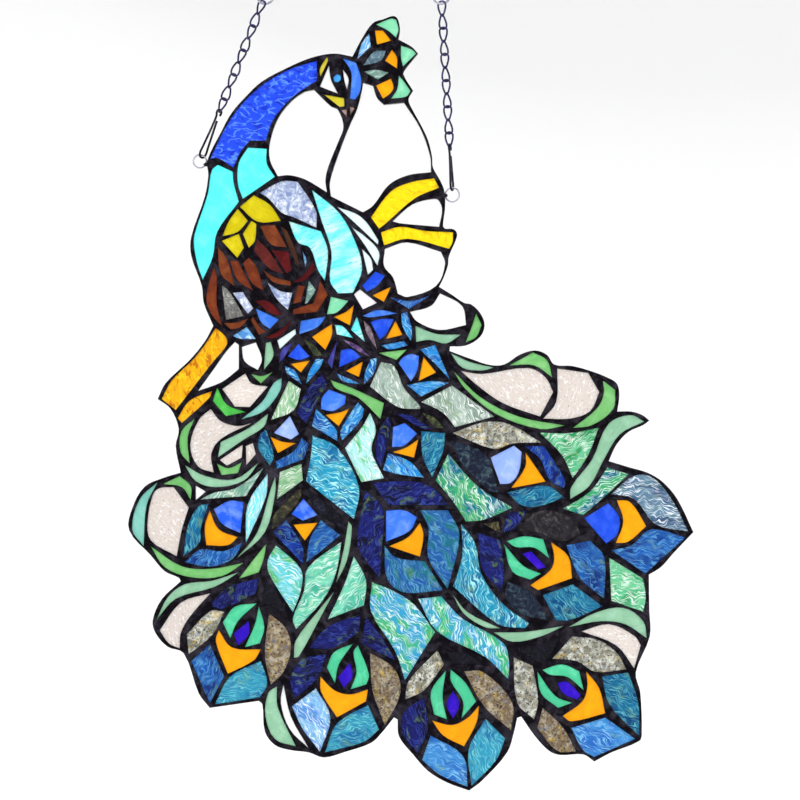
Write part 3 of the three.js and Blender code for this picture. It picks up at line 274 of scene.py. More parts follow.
pane("pane_chip", "milk", 196,485.5, 206,491.5, 196,500)
series("curl", 1,
    ("sage", 266,343, 271,342, 273.5,356, 264,370),
    ("leafGreen", 251,374, 262,376, 273,372, 261,383.5),
    ("brightGreen", 217.5,387.5, 227,404.5, 246,412, 226,416, 213,401),
    ("jade", 282,378, 280,391, 264,411, 241,419.5, 262,402, 274,383),
    ("leafGreen", 195,418.5, 188,437, 190,463.5, 181,452, 181.5,431.5),
    ("sage", 268.5,413.5, 264,426.5, 244,439.5, 218,457.5, 221,442, 249,428),
    ("leafGreen", 217,463.5, 229,468, 242,462, 238,473, 222,475),
    ("sage", 185,465, 206,476, 235,479, 259,462.5, 244,480.5, 216,487, 196,481),
)
pane("hook_ribbon", "sage", 415.5,326, 437,334, 461,334.5, 446,343.5, 430,340, 416,342)
pane("hook_tip", "leafGreen", 476,313.5, 481.5,325, 476,337, 465.5,342.5, 472,326)
series("ribbon", 2,
    ("sage", 450.5,353, 470,362, 494,367.5, 482,370.5, 462,367.5),
    ("leafGreen", 509,365.5, 533,352.5, 547,360.5, 552,377.5, 534,365.5),
    ("leafGreen", 453,370.5, 480,397, 518.5,416.5, 565,425.5, 540,429, 496,414, 465,388.5),
)
pane("pane_east", "clear", 461,371, 482,374, 528,368, 545,377, 553,392, 540,416.5, 502.5,403, 475,383.5)
pane("neck_tip_leaf", "leafGreen", 378.5,353, 407,349.5, 396.5,360)
pane("middle_ribbon", "leafGreen", 330.5,380, 352,388, 384,403, 380.5,419, 358,397.5, 336,388.5)
series("curl", 9,
    ("leafGreen", 163,484, 180,476, 191,486, 191,500, 182,487),
    ("jade", 158,482, 147,505, 144,546, 132.5,529, 140,499),
)
pane("pane_spotted", "clear", 160,488, 174,487, 189,507.5, 182,530, 177,556, 151,540, 148,520, 153.5,494)
series("curl", 11,
    ("leafGreen", 151,546, 182,566, 212,568.5, 244,562.5, 222,576, 191,577, 165,567),
    ("sage", 275.5,476, 275.5,492, 265,532, 236,559, 257,533, 270.5,490),
)
pane("pane_west_stripe", "iceStripe", 268,473, 266,497, 246,543, 248,504)
pane("pane_west_fan", "sageStripe", 200.5,499.5, 214,492.5, 236,488, 264,467.5, 246,496, 224,497.5)
pane("curl_13", "sage", 240,571.5, 212,580.5, 185,584, 168,597, 156.5,620, 176,598.5, 215,586.5)
pane("pane_low", "clear", 210.5,593, 190,616.5, 181,633, 180,648, 169,643, 160,630, 181,602.5)
series("curl", 14,
    ("leafGreen", 266.5,543.5, 264,558, 259,572, 239,578.5, 254,559),
    ("sage", 334.5,591, 319,620, 299,656, 294,657.5, 296,640, 318,611),
    ("sage", 277,686, 278,707, 296,746, 275,738.5, 265.5,715, 268.5,692.5),
)
pane("pane_sliver", "milk", 283.5,684, 291,716, 309,748, 290,729, 281,703)
series("pane_stripe", 1,
    ("meadowStripe", 289,381, 301,389, 294,410, 271,420, 281,398),
    ("meadowStripe", 280,472, 301.5,463.5, 303,480, 277,499),
    ("greyStripe", 381,362, 394,366, 404,388, 420,406, 420,409, 398,407, 370,386.5),
    ("greyStripe", 452,385.5, 494,416.5, 455,427, 442,412, 421,402),
    ("whiteStripe", 370,412.5, 376,430, 371.5,450, 384,478, 361.5,482, 345,448, 363,425.5),
    ("tealStripe", 312.5,435.5, 337,447, 359,487, 354,519, 306,481, 311,455),
    ("jungleStripe", 448,453.5, 478,486.5, 512.5,507.5, 484,519.5, 466,521.5, 452,500, 435.5,480),
    ("greenStripe", 539.5,432.5, 569,433, 598.5,427.5, 588,455, 572.5,478, 562,455.5),
    ("jungleStripe", 607,467.5, 628.5,474, 606,495, 583,515, 563,508.5, 590,491),
    ("greenStripe", 609,557.5, 643,578.5, 645.5,597, 643,611.5, 611,600.5),
    ("aquaStripe", 276,545, 301,569, 301,590, 293,612, 269,573, 268,560),
    ("mintStripe", 341.5,541.5, 336,573, 323,600, 296,629, 293,618, 304,591, 308,567.5),
    ("mintStripe", 354,556, 366,580, 364,605, 328,619, 344,585),
    ("lagoonStripe", 372,582, 391,589.5, 414,604, 435,632, 418,659, 405,680, 395,650.5, 371,611),
    ("lagoonStripe", 418,598.5, 441,596, 462,618, 503,642.5, 509,662, 508,679, 485,656.5, 437,631),
    ("tealStripe", 461,523.5, 475,543, 481,573, 502,603, 529,623, 525,628, 498,624, 453,586, 462,556),
)
pane("ribbon_05", "leafGreen", 602.5,380.5, 615,390, 613,409, 592,425, 572.5,428, 597,408, 603.5,393)
pane("pane_far_east", "clear", 557,368.5, 588,373, 599,392, 590,411, 570,418.5, 543,418.5, 556,402)
series("ribbon", 6,
    ("sage", 570,499, 571,487, 592,459, 608,424, 630,415, 644,421.5, 620,434, 605,457, 589,486),
    ("sage", 452,593, 467,611.5, 500,628, 485,627, 463.5,613),
    ("sage", 493,632, 525,631.5, 564,625.5, 541,636, 512.5,641.5),
    ("sage", 568,627, 595,612.5, 623,607.5, 643,621, 646.5,638, 625,624, 600,621),
    ("sage", 348.5,521, 352,527, 347,560, 336,583, 344,548),
)
pane("pane_speckled", "clear", 581,631, 609,624, 634,635.5, 640.5,645, 634,668, 616,645)
feather("01",
    eye=("royal", 375.5,271.5, 385,276, 377,286, 367,292, 362,286),
    heart=("orange", 391,287, 384,302, 372.5,295.5),
    tail=("azureStreak", 390,297.5, 412,301, 431,295, 409,309),
)
feather("02",
    eye=("royal", 370.5,322, 381,319, 394,319, 387,332.5, 380,340),
    heart=("orange", 395.5,321, 402.5,335, 386,339),
    top=("azure", 362.5,316, 378,310, 397.5,313.5, 370,317.5),
    side=("skyStripe", 401,314, 407,312, 412,330, 411,341, 403,328),
    foot=("skyStripe", 381,345.5, 404,341, 407.5,345.5, 390,349.5),
    back=("pinkMarble", 363.5,320, 371,329, 377,349.5, 367,334),
    chip=("aquaRipple", 357,316.5, 365,342, 351,330),
    slip=("aquaRipple", 335,325, 343,326.5, 353,338, 337,334.5),
)
feather("03",
    bud=("mint", 331,297, 348.5,301, 337,312.5, 327,314.5),
    heart=("orange", 354,305, 350,325.5, 334,317, 346,312),
)
feather("04",
    eye=("azure", 301,321, 326,316.5, 318,327, 299,334.5),
    heart=("orange", 332,324, 332,335, 325.5,350, 312,337),
)
feather("05",
    eye=("royal", 298.5,344, 310,356.5, 299,360, 288,356.3),
    heart=("orange", 291,364, 310,360.5, 301,372.5),
    strip=("violet", 293,342, 284,358, 279,363, 282,350),
    moss=("moss", 303,338.5, 314,345, 323,356, 314,355.5),
    left=("skyStripe", 285,366, 295,371, 302,384.5, 287,373),
    right=("skyStripe", 316,359, 324,359, 319,369, 306,384, 309,372),
)
feather("06",
    eye=("royal", 341,350.5, 351,349, 361,357, 339,367.5),
    heart=("orange", 363,361.5, 359,377, 346,371),
    strip=("violet", 337.5,339.5, 332,369, 327.5,362),
    plum=("plumMarble", 342,339, 358,345.5, 370,357, 355,349.5),
    left=("skyStripe", 336,373, 361,384, 343,381.5),
    right=("skyStripe", 371,359, 377,358, 374,373, 364,384.5, 365,373),
)
feather("07",
    eye=("blueOpal", 403,357.5, 411,354, 419,356, 417.3,370, 411,381.5, 398.5,363),
    heart=("orange", 423.5,357, 436,372.5, 418.5,381),
    top=("skyStripe", 420,349.5, 435,345, 450,380, 438,367),
    foot=("skyStripe", 407,385, 431,381, 449,382.5, 421,396.5),
)
feather("08",
    eye=("blueOpal", 329,389.5, 346,396, 345,404, 333,411, 321,409, 322,398),
    heart=("orange", 351,407, 339,427, 324.5,414.5, 341,411.5),
    left=("skyStripe", 316,408.5, 336,429, 337.5,441, 312,426),
    right=("skyStripe", 358,402, 364,409, 361,420, 342,440.5, 340.5,431, 354,408),
    dusk=("indigoStreak", 322,374, 327.5,384, 318,400, 306,424, 297,413, 306,391),
)
feather("09",
    eye=("paleBlue", 290,416, 299,434, 291,439.5, 274,433),
    heart=("orange", 270.5,436.5, 282,441.5, 296,443, 278,453),
    left=("peacockStripe", 266,429, 274,456, 270,465.5, 258.5,448, 260,435),
    right=("blueStripe", 302,437.5, 309,444, 304,459, 277,469, 276,461, 294,451),
)
feather("10",
    eye=("blueOpal", 393,427, 405,423, 417,433.5, 404,445.5, 392,447),
    heart=("orange", 418.5,439, 414,457.5, 392.5,452, 406,447.5),
    foot=("skyStripe", 388,453, 410,461.5, 424,477.5, 400,474.5, 383,470),
    side=("peacockStripe", 421,431, 445,433, 443,451, 432,477, 422.5,456),
    crown=("indigoStreak", 395.5,413.5, 411,415.5, 431,428.5, 424,429, 405,419),
    moss=("moss", 422,412.5, 435,418, 444,428, 436,427.5),
    dusk=("indigoStreak", 388,416, 391,425, 386,449, 381,468, 376,456, 379,430),
)
feather("11",
    eye=("royalFade", 214,509, 230,500.5, 244,502, 240.5,533, 222,523.5),
    heart=("orange", 210,510.5, 219,529, 238,537, 228,545, 206.5,545, 205,526),
    left=("peacockStripe", 209,503.5, 201,528, 200,542, 183.5,556.5, 188,526, 199,506),
    foot=("blueStripe", 201,549, 223,551, 243,542, 232.5,559, 210,566.5, 185,562),
)
feather("12",
    eye=("royalFade", 303.5,498.5, 317.5,515, 303,520.5, 291.5,514),
    heart=("orange", 293.5,524.5, 317.5,522.5, 305,540.5),
    left=("navyStripe", 286.5,520, 303,547, 303,564, 273,532),
    right=("blueStripe", 321,520, 340.5,535, 306,563, 310,539),
    moss=("bronzeMoss", 301,487.5, 301,496, 287,515.5, 271.5,530, 274.5,514),
    dusk=("night", 306.5,487.5, 343,516.5, 341,527, 317,512),
)
feather("13",
    eye=("blueOpal", 386,510.5, 404,510, 417,517, 410,530.5, 386,541.5),
    heart=("orange", 420,522.5, 423.5,535, 420,556.5, 389,546, 408,537),
    foot=("deepStripe", 384.5,545, 395.5,557, 425,561, 443,590, 403,592, 387,578),
    side=("deepStripe", 420,510, 448,510, 459.5,535, 447.5,589, 428,557, 428.5,528),
    crown=("indigoStreak", 372.5,482.5, 409,481, 431,486.5, 449,505, 388,505),
    dusk=("indigoStreak", 365,490, 383,509, 382,547, 380,578.5, 358,546, 362,508),
)
feather("14",
    eye=("paleBlue", 490.5,457.5, 514,445.5, 521.5,452, 519,471, 511,482.5, 500,484),
    heart=("orange", 525.5,452.5, 545.5,481.5, 511,488, 525,467),
    crown=("mossMarble", 452.5,433, 484,422, 509,424, 541,442.5, 512,443.5, 494,449),
    dusk=("nightMoss", 450,440, 485.5,454.5, 498.5,492.5, 490,491, 463,465.5),
    side=("navyStripe", 524,446, 544,446, 564.5,479, 564,488, 550,480.5, 540,459),
    foot=("peacockStripe", 507,492, 546,485.5, 564,497, 538,506.5, 521,505),
)
feather("15",
    mint=("mintOpal", 506.5,541, 524,536, 543,539, 549,558, 534,547.5, 516,547),
    leaf=("mintOpal", 504,544, 523,565.5, 541,573.5, 530,579.5, 512,571),
    eye=("purple", 522,553.5, 531,551, 546,567, 538,569),
    heart=("orange", 551,542, 568,556, 572,578, 538,590, 530,585, 550,570, 554,558),
    crown=("charcoal", 519,531, 531,513.5, 556,511, 574,521, 580,534, 561,541.5, 538,532.5),
    side=("blueStripe", 566,545, 590,540.5, 604,557, 604,598.5, 580,578),
    foot=("peacockStripe", 572.5,584, 602.5,606, 571,619.5, 556,620, 542.5,595),
    low=("nightMoss", 507,581, 531,592.5, 549,620, 519,613, 505.5,597),
    dusk=("indigoStreak", 478,532.5, 500,540, 504,571, 501,591.5, 482,568),
    plum=("indigoStreak", 528,510, 514,528, 502.5,532.5, 507,513.5),
    ember=("bronzeMoss", 482.5,523.5, 499,521, 500,532.5),
)
feather("16",
    eye=("royal", 584,518, 608,503, 619,517, 617,534, 606,543.5),
    heart=("orange", 616.5,500, 630,502, 646,526, 628,541.5, 615.5,543, 623,521),
    crown=("slateStreak", 611,494, 634,475.5, 653,478, 672,500, 688,531.5, 655,524, 634,499),
    foot=("blueStripe", 648,530, 664,530.5, 685,537.5, 645,573.5, 611,550, 632,544.5),
)
feather("17",
    mint=("mintOpal", 257,603, 238,621, 230.5,638, 223,622, 235,606.5),
    leaf=("mintOpal", 259,606, 264.5,627, 260,643, 245,647, 255,624),
    eye=("purple", 249,620.5, 249,634, 238,645.5, 234,633),
    heart=("orange", 219,629.5, 232,647, 261,649, 254,660, 228,673.5, 216,641),
    crown=("indigoStreak", 212,602, 228,587, 259,578, 256,593, 223,608.5, 213,606.5),
    left=("mossMarble", 211,610.5, 224.5,611.5, 213,634, 189,654, 187,634),
    foot_left=("blueStripe", 210,643.5, 224.5,676, 210,703, 191.5,661),
    foot_right=("tealRipple", 261,660.5, 267.5,683, 260,697, 215,704, 230,676.5),
    night=("night", 266,579, 277,592, 288,616, 262,601),
    bronze=("bronzeMarble", 269,613, 286,628, 291,648, 284,671, 271,684.5, 265,655),
)
feather("18",
    mint=("mintOpal", 353,643.5, 339,664, 335,683, 327,667, 334,652),
    leaf=("mintOpal", 358,645, 369,674, 366.5,684, 350.5,689, 356.5,672, 353.5,652),
    eye=("purple", 350,662, 352.5,676, 344,688, 338,677),
    heart=("orange", 320.5,676, 334,689.5, 350,694, 368,689, 366,701, 337,717, 321,691),
    crown=("indigoStreak", 360.5,614, 359,632, 332,648, 309,648, 327,627),
    night=("indigoStreak", 366,616, 382,637.5, 396.5,661, 361.5,643),
    bronze=("bronzeMarble", 370,652.5, 394,668, 400.5,692, 385,725.5, 372.5,690),
    left=("indigoStreak", 326.5,653.5, 318,677, 295,698, 290,678, 302,657.5),
    foot_left=("iceBlue", 316,688, 330.5,717, 320,751.5, 303,729, 292,706),
    foot_right=("tealRipple", 368,704.5, 379,729, 364,741.5, 325,752, 337,723),
)
feather("19",
    mint=("mintOpal", 446,670, 442.5,697, 447,719, 434,714, 431,691),
    leaf=("mintOpal", 450.5,669, 465,682, 476,701, 461.5,718, 463,701, 451,681),
    eye=("purple", 453,690.5, 459.5,704, 453,718.5, 446.5,704),
    heart=("orange", 432,720, 452,724.5, 468,717, 479,705, 476.5,722, 464,746, 443,735),
    moss=("mossMarble", 437.5,650, 444,664, 424,690, 405,699, 409,680),
    left=("indigoStreak", 424,697, 428,729, 417,753, 402,733, 404,712),
    foot_left=("skyRipple", 430.5,735, 463,755.5, 467.5,786.5, 440,774.5, 422,759.5),
    foot_right=("tealRipple", 485.5,718.5, 505,738, 496,760, 471.5,785.5, 468.5,749),
    marble=("bronzeMarble", 464,671, 483,671.5, 512,702, 511,730, 484,706),
    crown=("night", 447,652, 466,653, 483,664, 453,664),
)
feather("20",
    mint=("mintOpal", 542,669.5, 562,664, 579,671, 583.5,690, 567,676.5, 550,674.5),
    leaf=("mintOpal", 537,671, 555,695.5, 572,702.5, 558,707.5, 541,693),
    eye=("purple", 557,682.5, 567,681.5, 580.5,694.5, 577,699.5, 563,693),
    heart=("orange", 586,671, 599,688, 605,713, 571,721, 562.5,715.5, 582,701, 587,687),
    crown=("mossMarble", 552,658.5, 572,636, 598,639.5, 617,653, 626,669, 595,671.5, 577,661),
    side=("peacockStripe", 602,676, 628,672, 638,702, 639,735.5, 609,704),
    foot=("skyRipple", 605,717, 635,738.5, 594,756.5, 583,750, 571,727.5),
    low=("bronzeMarble", 542.5,707.5, 562,726, 576,751, 557,750.5, 537,727.5),
    dusk=("mossMarble", 513.5,657, 532.5,665.5, 538,700, 534,719, 517,702),
    night=("night", 519,650, 560,637, 547,659, 537,662),
)

print("drawing read:", len(panes), "panes")


# A group of shader nodes is built from a short recipe, so that each glass shares the same code.
class Recipe:
    def __init__(self, tree):
        self.tree = tree

    def feed(self, socket, value):
        if isinstance(value, bpy.types.NodeSocket):
            self.tree.links.new(value, socket)
        else:
            socket.default_value = value

    def node(self, kind, inputs=None, **settings):
        node = self.tree.nodes.new(kind)
        for key, value in settings.items():
            setattr(node, key, value)
        for key, value in (inputs or {}).items():
            self.feed(node.inputs[key], value)
        return node

    def math(self, operation, a, b=0.0):
        return self.node("ShaderNodeMath", {0: a, 1: b}, operation=operation).outputs[0]

    def noise(self, vector, scale, detail=2.0, rough=0.5, distortion=0.0):
        return self.node("ShaderNodeTexNoise", {
            "Vector": vector, "Scale": scale, "Detail": detail, "Roughness": rough, "Distortion": distortion,
        }).outputs["Fac"]

    def span(self, value, low, high, start=0.0, end=1.0):
        return self.node("ShaderNodeMapRange", {
            "Value": value, "From Min": low, "From Max": high, "To Min": start, "To Max": end,
        }, clamp=True).outputs["Result"]

    def mix(self, factor, a, b):
        return self.node("ShaderNodeMix", {0: factor, 6: a, 7: b}, data_type="RGBA").outputs[2]

    def stretch(self, vector, scale):
        return self.node("ShaderNodeVectorMath", {0: vector, 1: scale}, operation="MULTIPLY").outputs[0]


fieldInputs = {"Vector": "Vector", "Body": "Color", "Light": "Color", "Deep": "Color"}
fieldOutputs = {"Colour": "Color", "Height": "Float"}


def newGroup(name, build):
    tree = bpy.data.node_groups.new(name, "ShaderNodeTree")
    for way, sockets in (("INPUT", fieldInputs), ("OUTPUT", fieldOutputs)):
        for label, kind in sockets.items():
            tree.interface.new_socket(label, in_out=way, socket_type="NodeSocket" + kind)
    source = tree.nodes.new("NodeGroupInput")
    target = tree.nodes.new("NodeGroupOutput")
    for label, value in zip(fieldOutputs, build(Recipe(tree), *[source.outputs[key] for key in fieldInputs])):
        tree.links.new(value, target.inputs[label])
    return tree


def opalField(r, vector, body, light, deep):
    clouds = r.noise(vector, 0.9, 3, 0.55, 0.6)
    wisps = r.noise(r.stretch(vector, (0.5, 2.2, 1)), 1.6, 4, 0.6, 1.2)
    colour = r.mix(r.span(clouds, 0.45, 0.8), body, light)
    colour = r.mix(r.span(wisps, 0.52, 0.85, 0, 0.7), colour, deep)
    return colour, r.noise(vector, 2.5, 2)


def rippleField(r, vector, body, light, deep):
    place = r.stretch(vector, (1.7, 0.8, 1))
    worms = r.noise(place, 1.3, 1, 0.4, 0.35)
    ridge = r.math("ABSOLUTE", r.math("SUBTRACT", worms, 0.5))
    line = r.span(ridge, 0.01, 0.07, 1, 0)
    breaks = r.span(r.noise(vector, 1.7, 1, 0.5, 0.4), 0.42, 0.52)
    dark = r.span(r.noise(place, 1.5, 1, 0.5, 0.6), 0.54, 0.66)
    colour = r.mix(dark, body, deep)
    colour = r.mix(r.math("MULTIPLY", line, breaks), colour, light)
    return colour, worms


def crackleField(r, vector, body, light, deep):
    lines = r.node("ShaderNodeTexWave", {
        "Vector": vector, "Scale": 0.9, "Distortion": 5.0, "Detail": 2.0, "Detail Scale": 1.6,
    }, wave_type="BANDS", bands_direction="X").outputs["Fac"]
    broken = r.noise(vector, 2.2, 3, 0.6, 0.5)
    seam = r.math("MULTIPLY", r.span(lines, 0.12, 0.0), r.span(broken, 0.42, 0.6))
    broad = r.noise(r.stretch(vector, (1.2, 0.45, 1)), 1.0, 3, 0.5, 0.4)
    colour = r.mix(r.span(broad, 0.42, 0.66), body, light)
    colour = r.mix(seam, colour, deep)
    return colour, lines


def streakField(r, vector, body, light, deep):
    sway = r.noise(vector, 0.8, 2, 0.5, 0.2)
    bent = r.node("ShaderNodeCombineXYZ", {"Y": r.span(sway, 0.25, 0.75, -0.4, 0.4)}).outputs[0]
    place = r.node("ShaderNodeVectorMath", {0: vector, 1: bent}, operation="ADD").outputs[0]
    fine = r.noise(r.stretch(place, (0.5, 3.6, 1)), 2.4, 1, 0.5, 0.15)
    hair = r.noise(r.stretch(place, (0.6, 5.4, 1)), 2.4, 1, 0.5, 0.15)
    broad = r.noise(r.stretch(place, (0.5, 0.9, 1)), 0.9, 3, 0.5, 0.4)
    bands = r.noise(r.stretch(place, (0.5, 1.2, 1)), 0.8, 2, 0.5, 0.3)
    moss = r.noise(r.stretch(place, (0.6, 1.4, 1)), 1.3, 3, 0.6, 0.4)
    colour = r.mix(r.span(bands, 0.47, 0.6), body, deep)
    colour = r.mix(r.span(moss, 0.56, 0.68, 0, 0.35), colour, rgb(132, 176, 60))
    streaks = r.math("MULTIPLY", r.span(fine, 0.5, 0.6), r.span(broad, 0.38, 0.58, 0.3, 0.9))
    colour = r.mix(streaks, colour, light)
    dark = r.math("MULTIPLY", r.span(hair, 0.55, 0.64), 0.5)
    colour = r.mix(dark, colour, deep)
    return colour, r.math("SUBTRACT", fine, r.math("MULTIPLY", hair, 0.5))


def marbleField(r, vector, body, light, deep):
    clouds = r.noise(vector, 1.3, 5, 0.62, 1.6)
    grains = r.noise(vector, 5.0, 4, 0.7, 0.8)
    veins = r.math("ABSOLUTE", r.math("SUBTRACT", r.noise(vector, 1.1, 4, 0.55, 2.0), 0.5))
    colour = r.mix(r.span(clouds, 0.4, 0.62), deep, body)
    bright = r.math("ADD", clouds, r.math("MULTIPLY", grains, 0.5))
    colour = r.mix(r.span(bright, 0.8, 0.98), colour, light)
    colour = r.mix(r.span(veins, 0.03, 0.0, 0, 0.6), colour, deep)
    return colour, grains


def mottleField(r, vector, body, light, deep):
    clouds = r.noise(vector, 1.5, 4, 0.62, 1.4)
    grains = r.noise(vector, 4.6, 4, 0.7, 0.8)
    warm = r.noise(r.stretch(vector, (1, 1.8, 1)), 1.2, 3, 0.6, 1.0)
    cool = r.noise(r.stretch(vector, (1.8, 1, 1)), 1.3, 3, 0.6, 0.8)
    colour = r.mix(r.span(clouds, 0.44, 0.64), body, light)
    colour = r.mix(r.span(warm, 0.56, 0.68, 0, 0.6), colour, rgb(196, 164, 44))
    colour = r.mix(r.span(cool, 0.58, 0.7, 0, 0.6), colour, rgb(84, 112, 146))
    colour = r.mix(r.span(grains, 0.55, 0.61, 0, 0.95), colour, deep)
    return colour, grains


def frostField(r, vector, body, light, deep):
    flecks = r.noise(r.stretch(vector, (1.0, 2.6, 1)), 2.4, 3, 0.6, 1.0)
    marks = r.noise(r.stretch(vector, (1.6, 3.0, 1)), 2.8, 2, 0.5, 0.4)
    colour = r.mix(r.span(flecks, 0.55, 0.64), body, light)
    colour = r.mix(r.span(marks, 0.62, 0.68, 0, 0.6), colour, deep)
    return colour, flecks


# Metal colour: a broad mask lifts the body towards the light tone, partly patina stains and partly painted
# grey highlights. Lumps darken it towards the deep tone and give the bump.
def solderField(r, vector, body, light, deep):
    lumps = r.noise(vector, 260.0, 3, 0.5, 0.6)
    stains_and_sheen = r.noise(vector, 90.0, 4, 0.6, 0.8)
    colour = r.mix(r.span(stains_and_sheen, 0.45, 0.75), body, light)
    colour = r.mix(r.span(lumps, 0.6, 0.8, 0, 0.5), colour, deep)
    return colour, lumps


fieldBuilders = {
    "opal": opalField, "ripple": rippleField, "crackle": crackleField, "streak": streakField,
    "marble": marbleField, "mottle": mottleField, "frosted": frostField, "solder": solderField,
}
fields = {name: newGroup(name + " field", build) for name, build in fieldBuilders.items()}
fields["clear"] = fields["opal"]


# Glass reads its pattern from each pane's own map and its colours from the corners.
def shade(name, field, look, colours=None):
    material = bpy.data.materials.new(name)
    material.use_nodes = True
    r = Recipe(material.node_tree)
    principled = material.node_tree.nodes["Principled BSDF"]
    for key, value in look["shader"].items():
        principled.inputs[key].default_value = value
    if colours:
        vector = r.node("ShaderNodeTexCoord").outputs["Object"]
    else:
        vector = r.node("ShaderNodeUVMap", uv_map="grain").outputs["UV"]
        colours = [r.node("ShaderNodeAttribute", attribute_name=key).outputs["Color"] for key in toneNames]
    group = r.node("ShaderNodeGroup", dict(zip(fieldInputs, (vector, *colours))), node_tree=fields[field])
    r.feed(principled.inputs["Base Color"], group.outputs["Colour"])
    bump = r.node("ShaderNodeBump", {
        "Strength": look["bump"], "Distance": look["relief"], "Height": group.outputs["Height"],
    })
    r.feed(principled.inputs["Normal"], bump.outputs["Normal"])
    return material


toneNames = ("body", "light", "deep")
glassLook = {
    "opal": {"bump": 0.15, "relief": 0.0006, "shader": {"Roughness": 0.24, "Specular IOR Level": 0.14}},
    "ripple": {"bump": 0.5, "relief": 0.0008, "shader": {"Roughness": 0.2, "Specular IOR Level": 0.2}},
    "crackle": {"bump": 0.3, "relief": 0.0006, "shader": {"Roughness": 0.2, "Specular IOR Level": 0.2}},
    "streak": {"bump": 0.45, "relief": 0.0006, "shader": {"Roughness": 0.26, "Specular IOR Level": 0.14}},
    "marble": {"bump": 0.35, "relief": 0.0006, "shader": {"Roughness": 0.24, "Specular IOR Level": 0.14}},
    "mottle": {"bump": 0.35, "relief": 0.0006, "shader": {"Roughness": 0.24, "Specular IOR Level": 0.14}},
    "frosted": {"bump": 0.5, "relief": 0.0006,
                "shader": {"Roughness": 0.15, "Specular IOR Level": 0.5, "Alpha": 0.8}},
    "clear": {"bump": 0.08, "relief": 0.0005,
              "shader": {"Roughness": 0.03, "Specular IOR Level": 0.5, "Alpha": 0.14}},
}
glassMaterials = {name: shade(name + " glass", name, look) for name, look in glassLook.items()}


def metal(name, bump, relief, shader, *tones):
    look = {"bump": bump, "relief": relief, "shader": shader}
    return shade(name, "solder", look, [rgb(*tone) for tone in tones])


# The dark solder's light tone is partly patina and partly a painted grey highlight.
solderMaterial = metal("dark solder", 0.8, 0.0009, {"Metallic": 1.0, "Roughness": 0.24},
                       (20, 18, 23), (64, 60, 70), (10, 8, 12))
chainMaterial = metal("blued chain", 0.2, 0.0002, {"Metallic": 0.85, "Roughness": 0.34},
                      (44, 40, 78), (78, 74, 116), (24, 22, 46))
hookMaterial = metal("dark hook", 0.2, 0.0002, {"Metallic": 0.85, "Roughness": 0.34},
                     (26, 24, 36), (58, 56, 72), (12, 10, 18))
ringMaterial = metal("bright ring", 0.1, 0.0001, {"Metallic": 1.0, "Roughness": 0.2},
                     (160, 158, 174), (206, 206, 216), (96, 92, 112))
print("materials made")


# A closed curve through the points that keeps corners sharper than this turn, as in the CAD.
cornerTurn = math.radians(50)


def loopHandles(points):
    result = []
    for i, point in enumerate(points):
        last, following = points[i - 1], points[(i + 1) % len(points)]
        before, after = (point - last).normalized(), (following - point).normalized()
        if before.dot(after) >= math.cos(cornerTurn):
            before = after = (following - last).normalized()
        back, ahead = (point - last).length / 3, (following - point).length / 3
        result.append((point, point - before * back, point + after * ahead))
    return result


def flatMesh(name, loops, depth, bevel, offset):
    data = bpy.data.curves.new(name, "CURVE")
    data.dimensions = "2D"
    data.fill_mode = "BOTH"
    data.extrude = depth
    data.bevel_depth = bevel
    data.bevel_resolution = 2
    data.offset = offset
    for points in loops:
        spline = data.splines.new("BEZIER")
        spline.use_cyclic_u = True
        spline.resolution_u = 4
        spline.bezier_points.add(len(points) - 1)
        for knot, (place, left, right) in zip(spline.bezier_points, loopHandles(points)):
            knot.handle_left_type = knot.handle_right_type = "FREE"
            knot.co, knot.handle_left, knot.handle_right = place.to_3d(), left.to_3d(), right.to_3d()
    holder = bpy.data.objects.new(name, data)
    mesh = bpy.data.meshes.new_from_object(holder)
    bpy.data.objects.remove(holder)
    bpy.data.curves.remove(data)
    mesh.transform(Matrix.Rotation(math.pi / 2, 4, "X"))
    return mesh


# A finished piece: smooth, but creased at turns sharper than the given degrees.
def finishMesh(bm, name, material, replaced, slot, sharp=50):
    bmesh.ops.remove_doubles(bm, verts=bm.verts, dist=1e-6)
    bmesh.ops.recalc_face_normals(bm, faces=bm.faces)
    for face in bm.faces:
        face.smooth = True
    for edge in bm.edges:
        if len(edge.link_faces) != 2 or edge.calc_face_angle(0) > math.radians(sharp):
            edge.smooth = False
    mesh = bpy.data.meshes.new(name)
    bm.to_mesh(mesh)
    bm.free()
    mesh.materials.append(material)
    piece = bpy.data.objects.new(name, mesh)
    bpy.context.scene.collection.objects.link(piece)
    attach(piece, "root")
    if replaced:
        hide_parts(*replaced)
    return piece


# Solder seams: the rim filled, with a hole for each pane, and its edges rounded.
solderSize = {"halfDepth": 0.0026, "round": 0.0004}
rim = [toPlane(p) for p in rimPoints]
for item in panes:
    item["corners"] = [toPlane(p) for p in item["points"]]
seams = flatMesh("seams", [rim] + [item["corners"] for item in panes],
                 solderSize["halfDepth"] - solderSize["round"], solderSize["round"], -solderSize["round"])
bm = bmesh.new()
bm.from_mesh(seams)
solderPiece = finishMesh(bm, "solder_seams", solderMaterial, ["solder_lattice"], "dark_solder")
print("solder made:", len(solderPiece.data.polygons))

# Glass: each own pane is a piece, and the small tiles of one glass are a piece together.
# The grain of a pane leans off its long axis by a turn in radians, and is read in centimetres.
glassSize = {"half": 0.0015, "bury": 0.0005}
grainSize = {"lean": (0.35, 0.75), "shift": (0, 40), "gain": (0.94, 1.05), "perMetre": 100}


def snake(kind):
    return "".join("_" + letter.lower() if letter.isupper() else letter for letter in kind)


def slotName(kind):
    return "clear_glass" if kind == "clearTextured" else snake(kind) + "_glass"


def longAxis(points):
    middle = sum(points, Vector((0, 0))) / len(points)
    xx = sum((p.x - middle.x) ** 2 for p in points)
    yy = sum((p.y - middle.y) ** 2 for p in points)
    xy = sum((p.x - middle.x) * (p.y - middle.y) for p in points)
    return 0.5 * math.atan2(2 * xy, xx - yy)


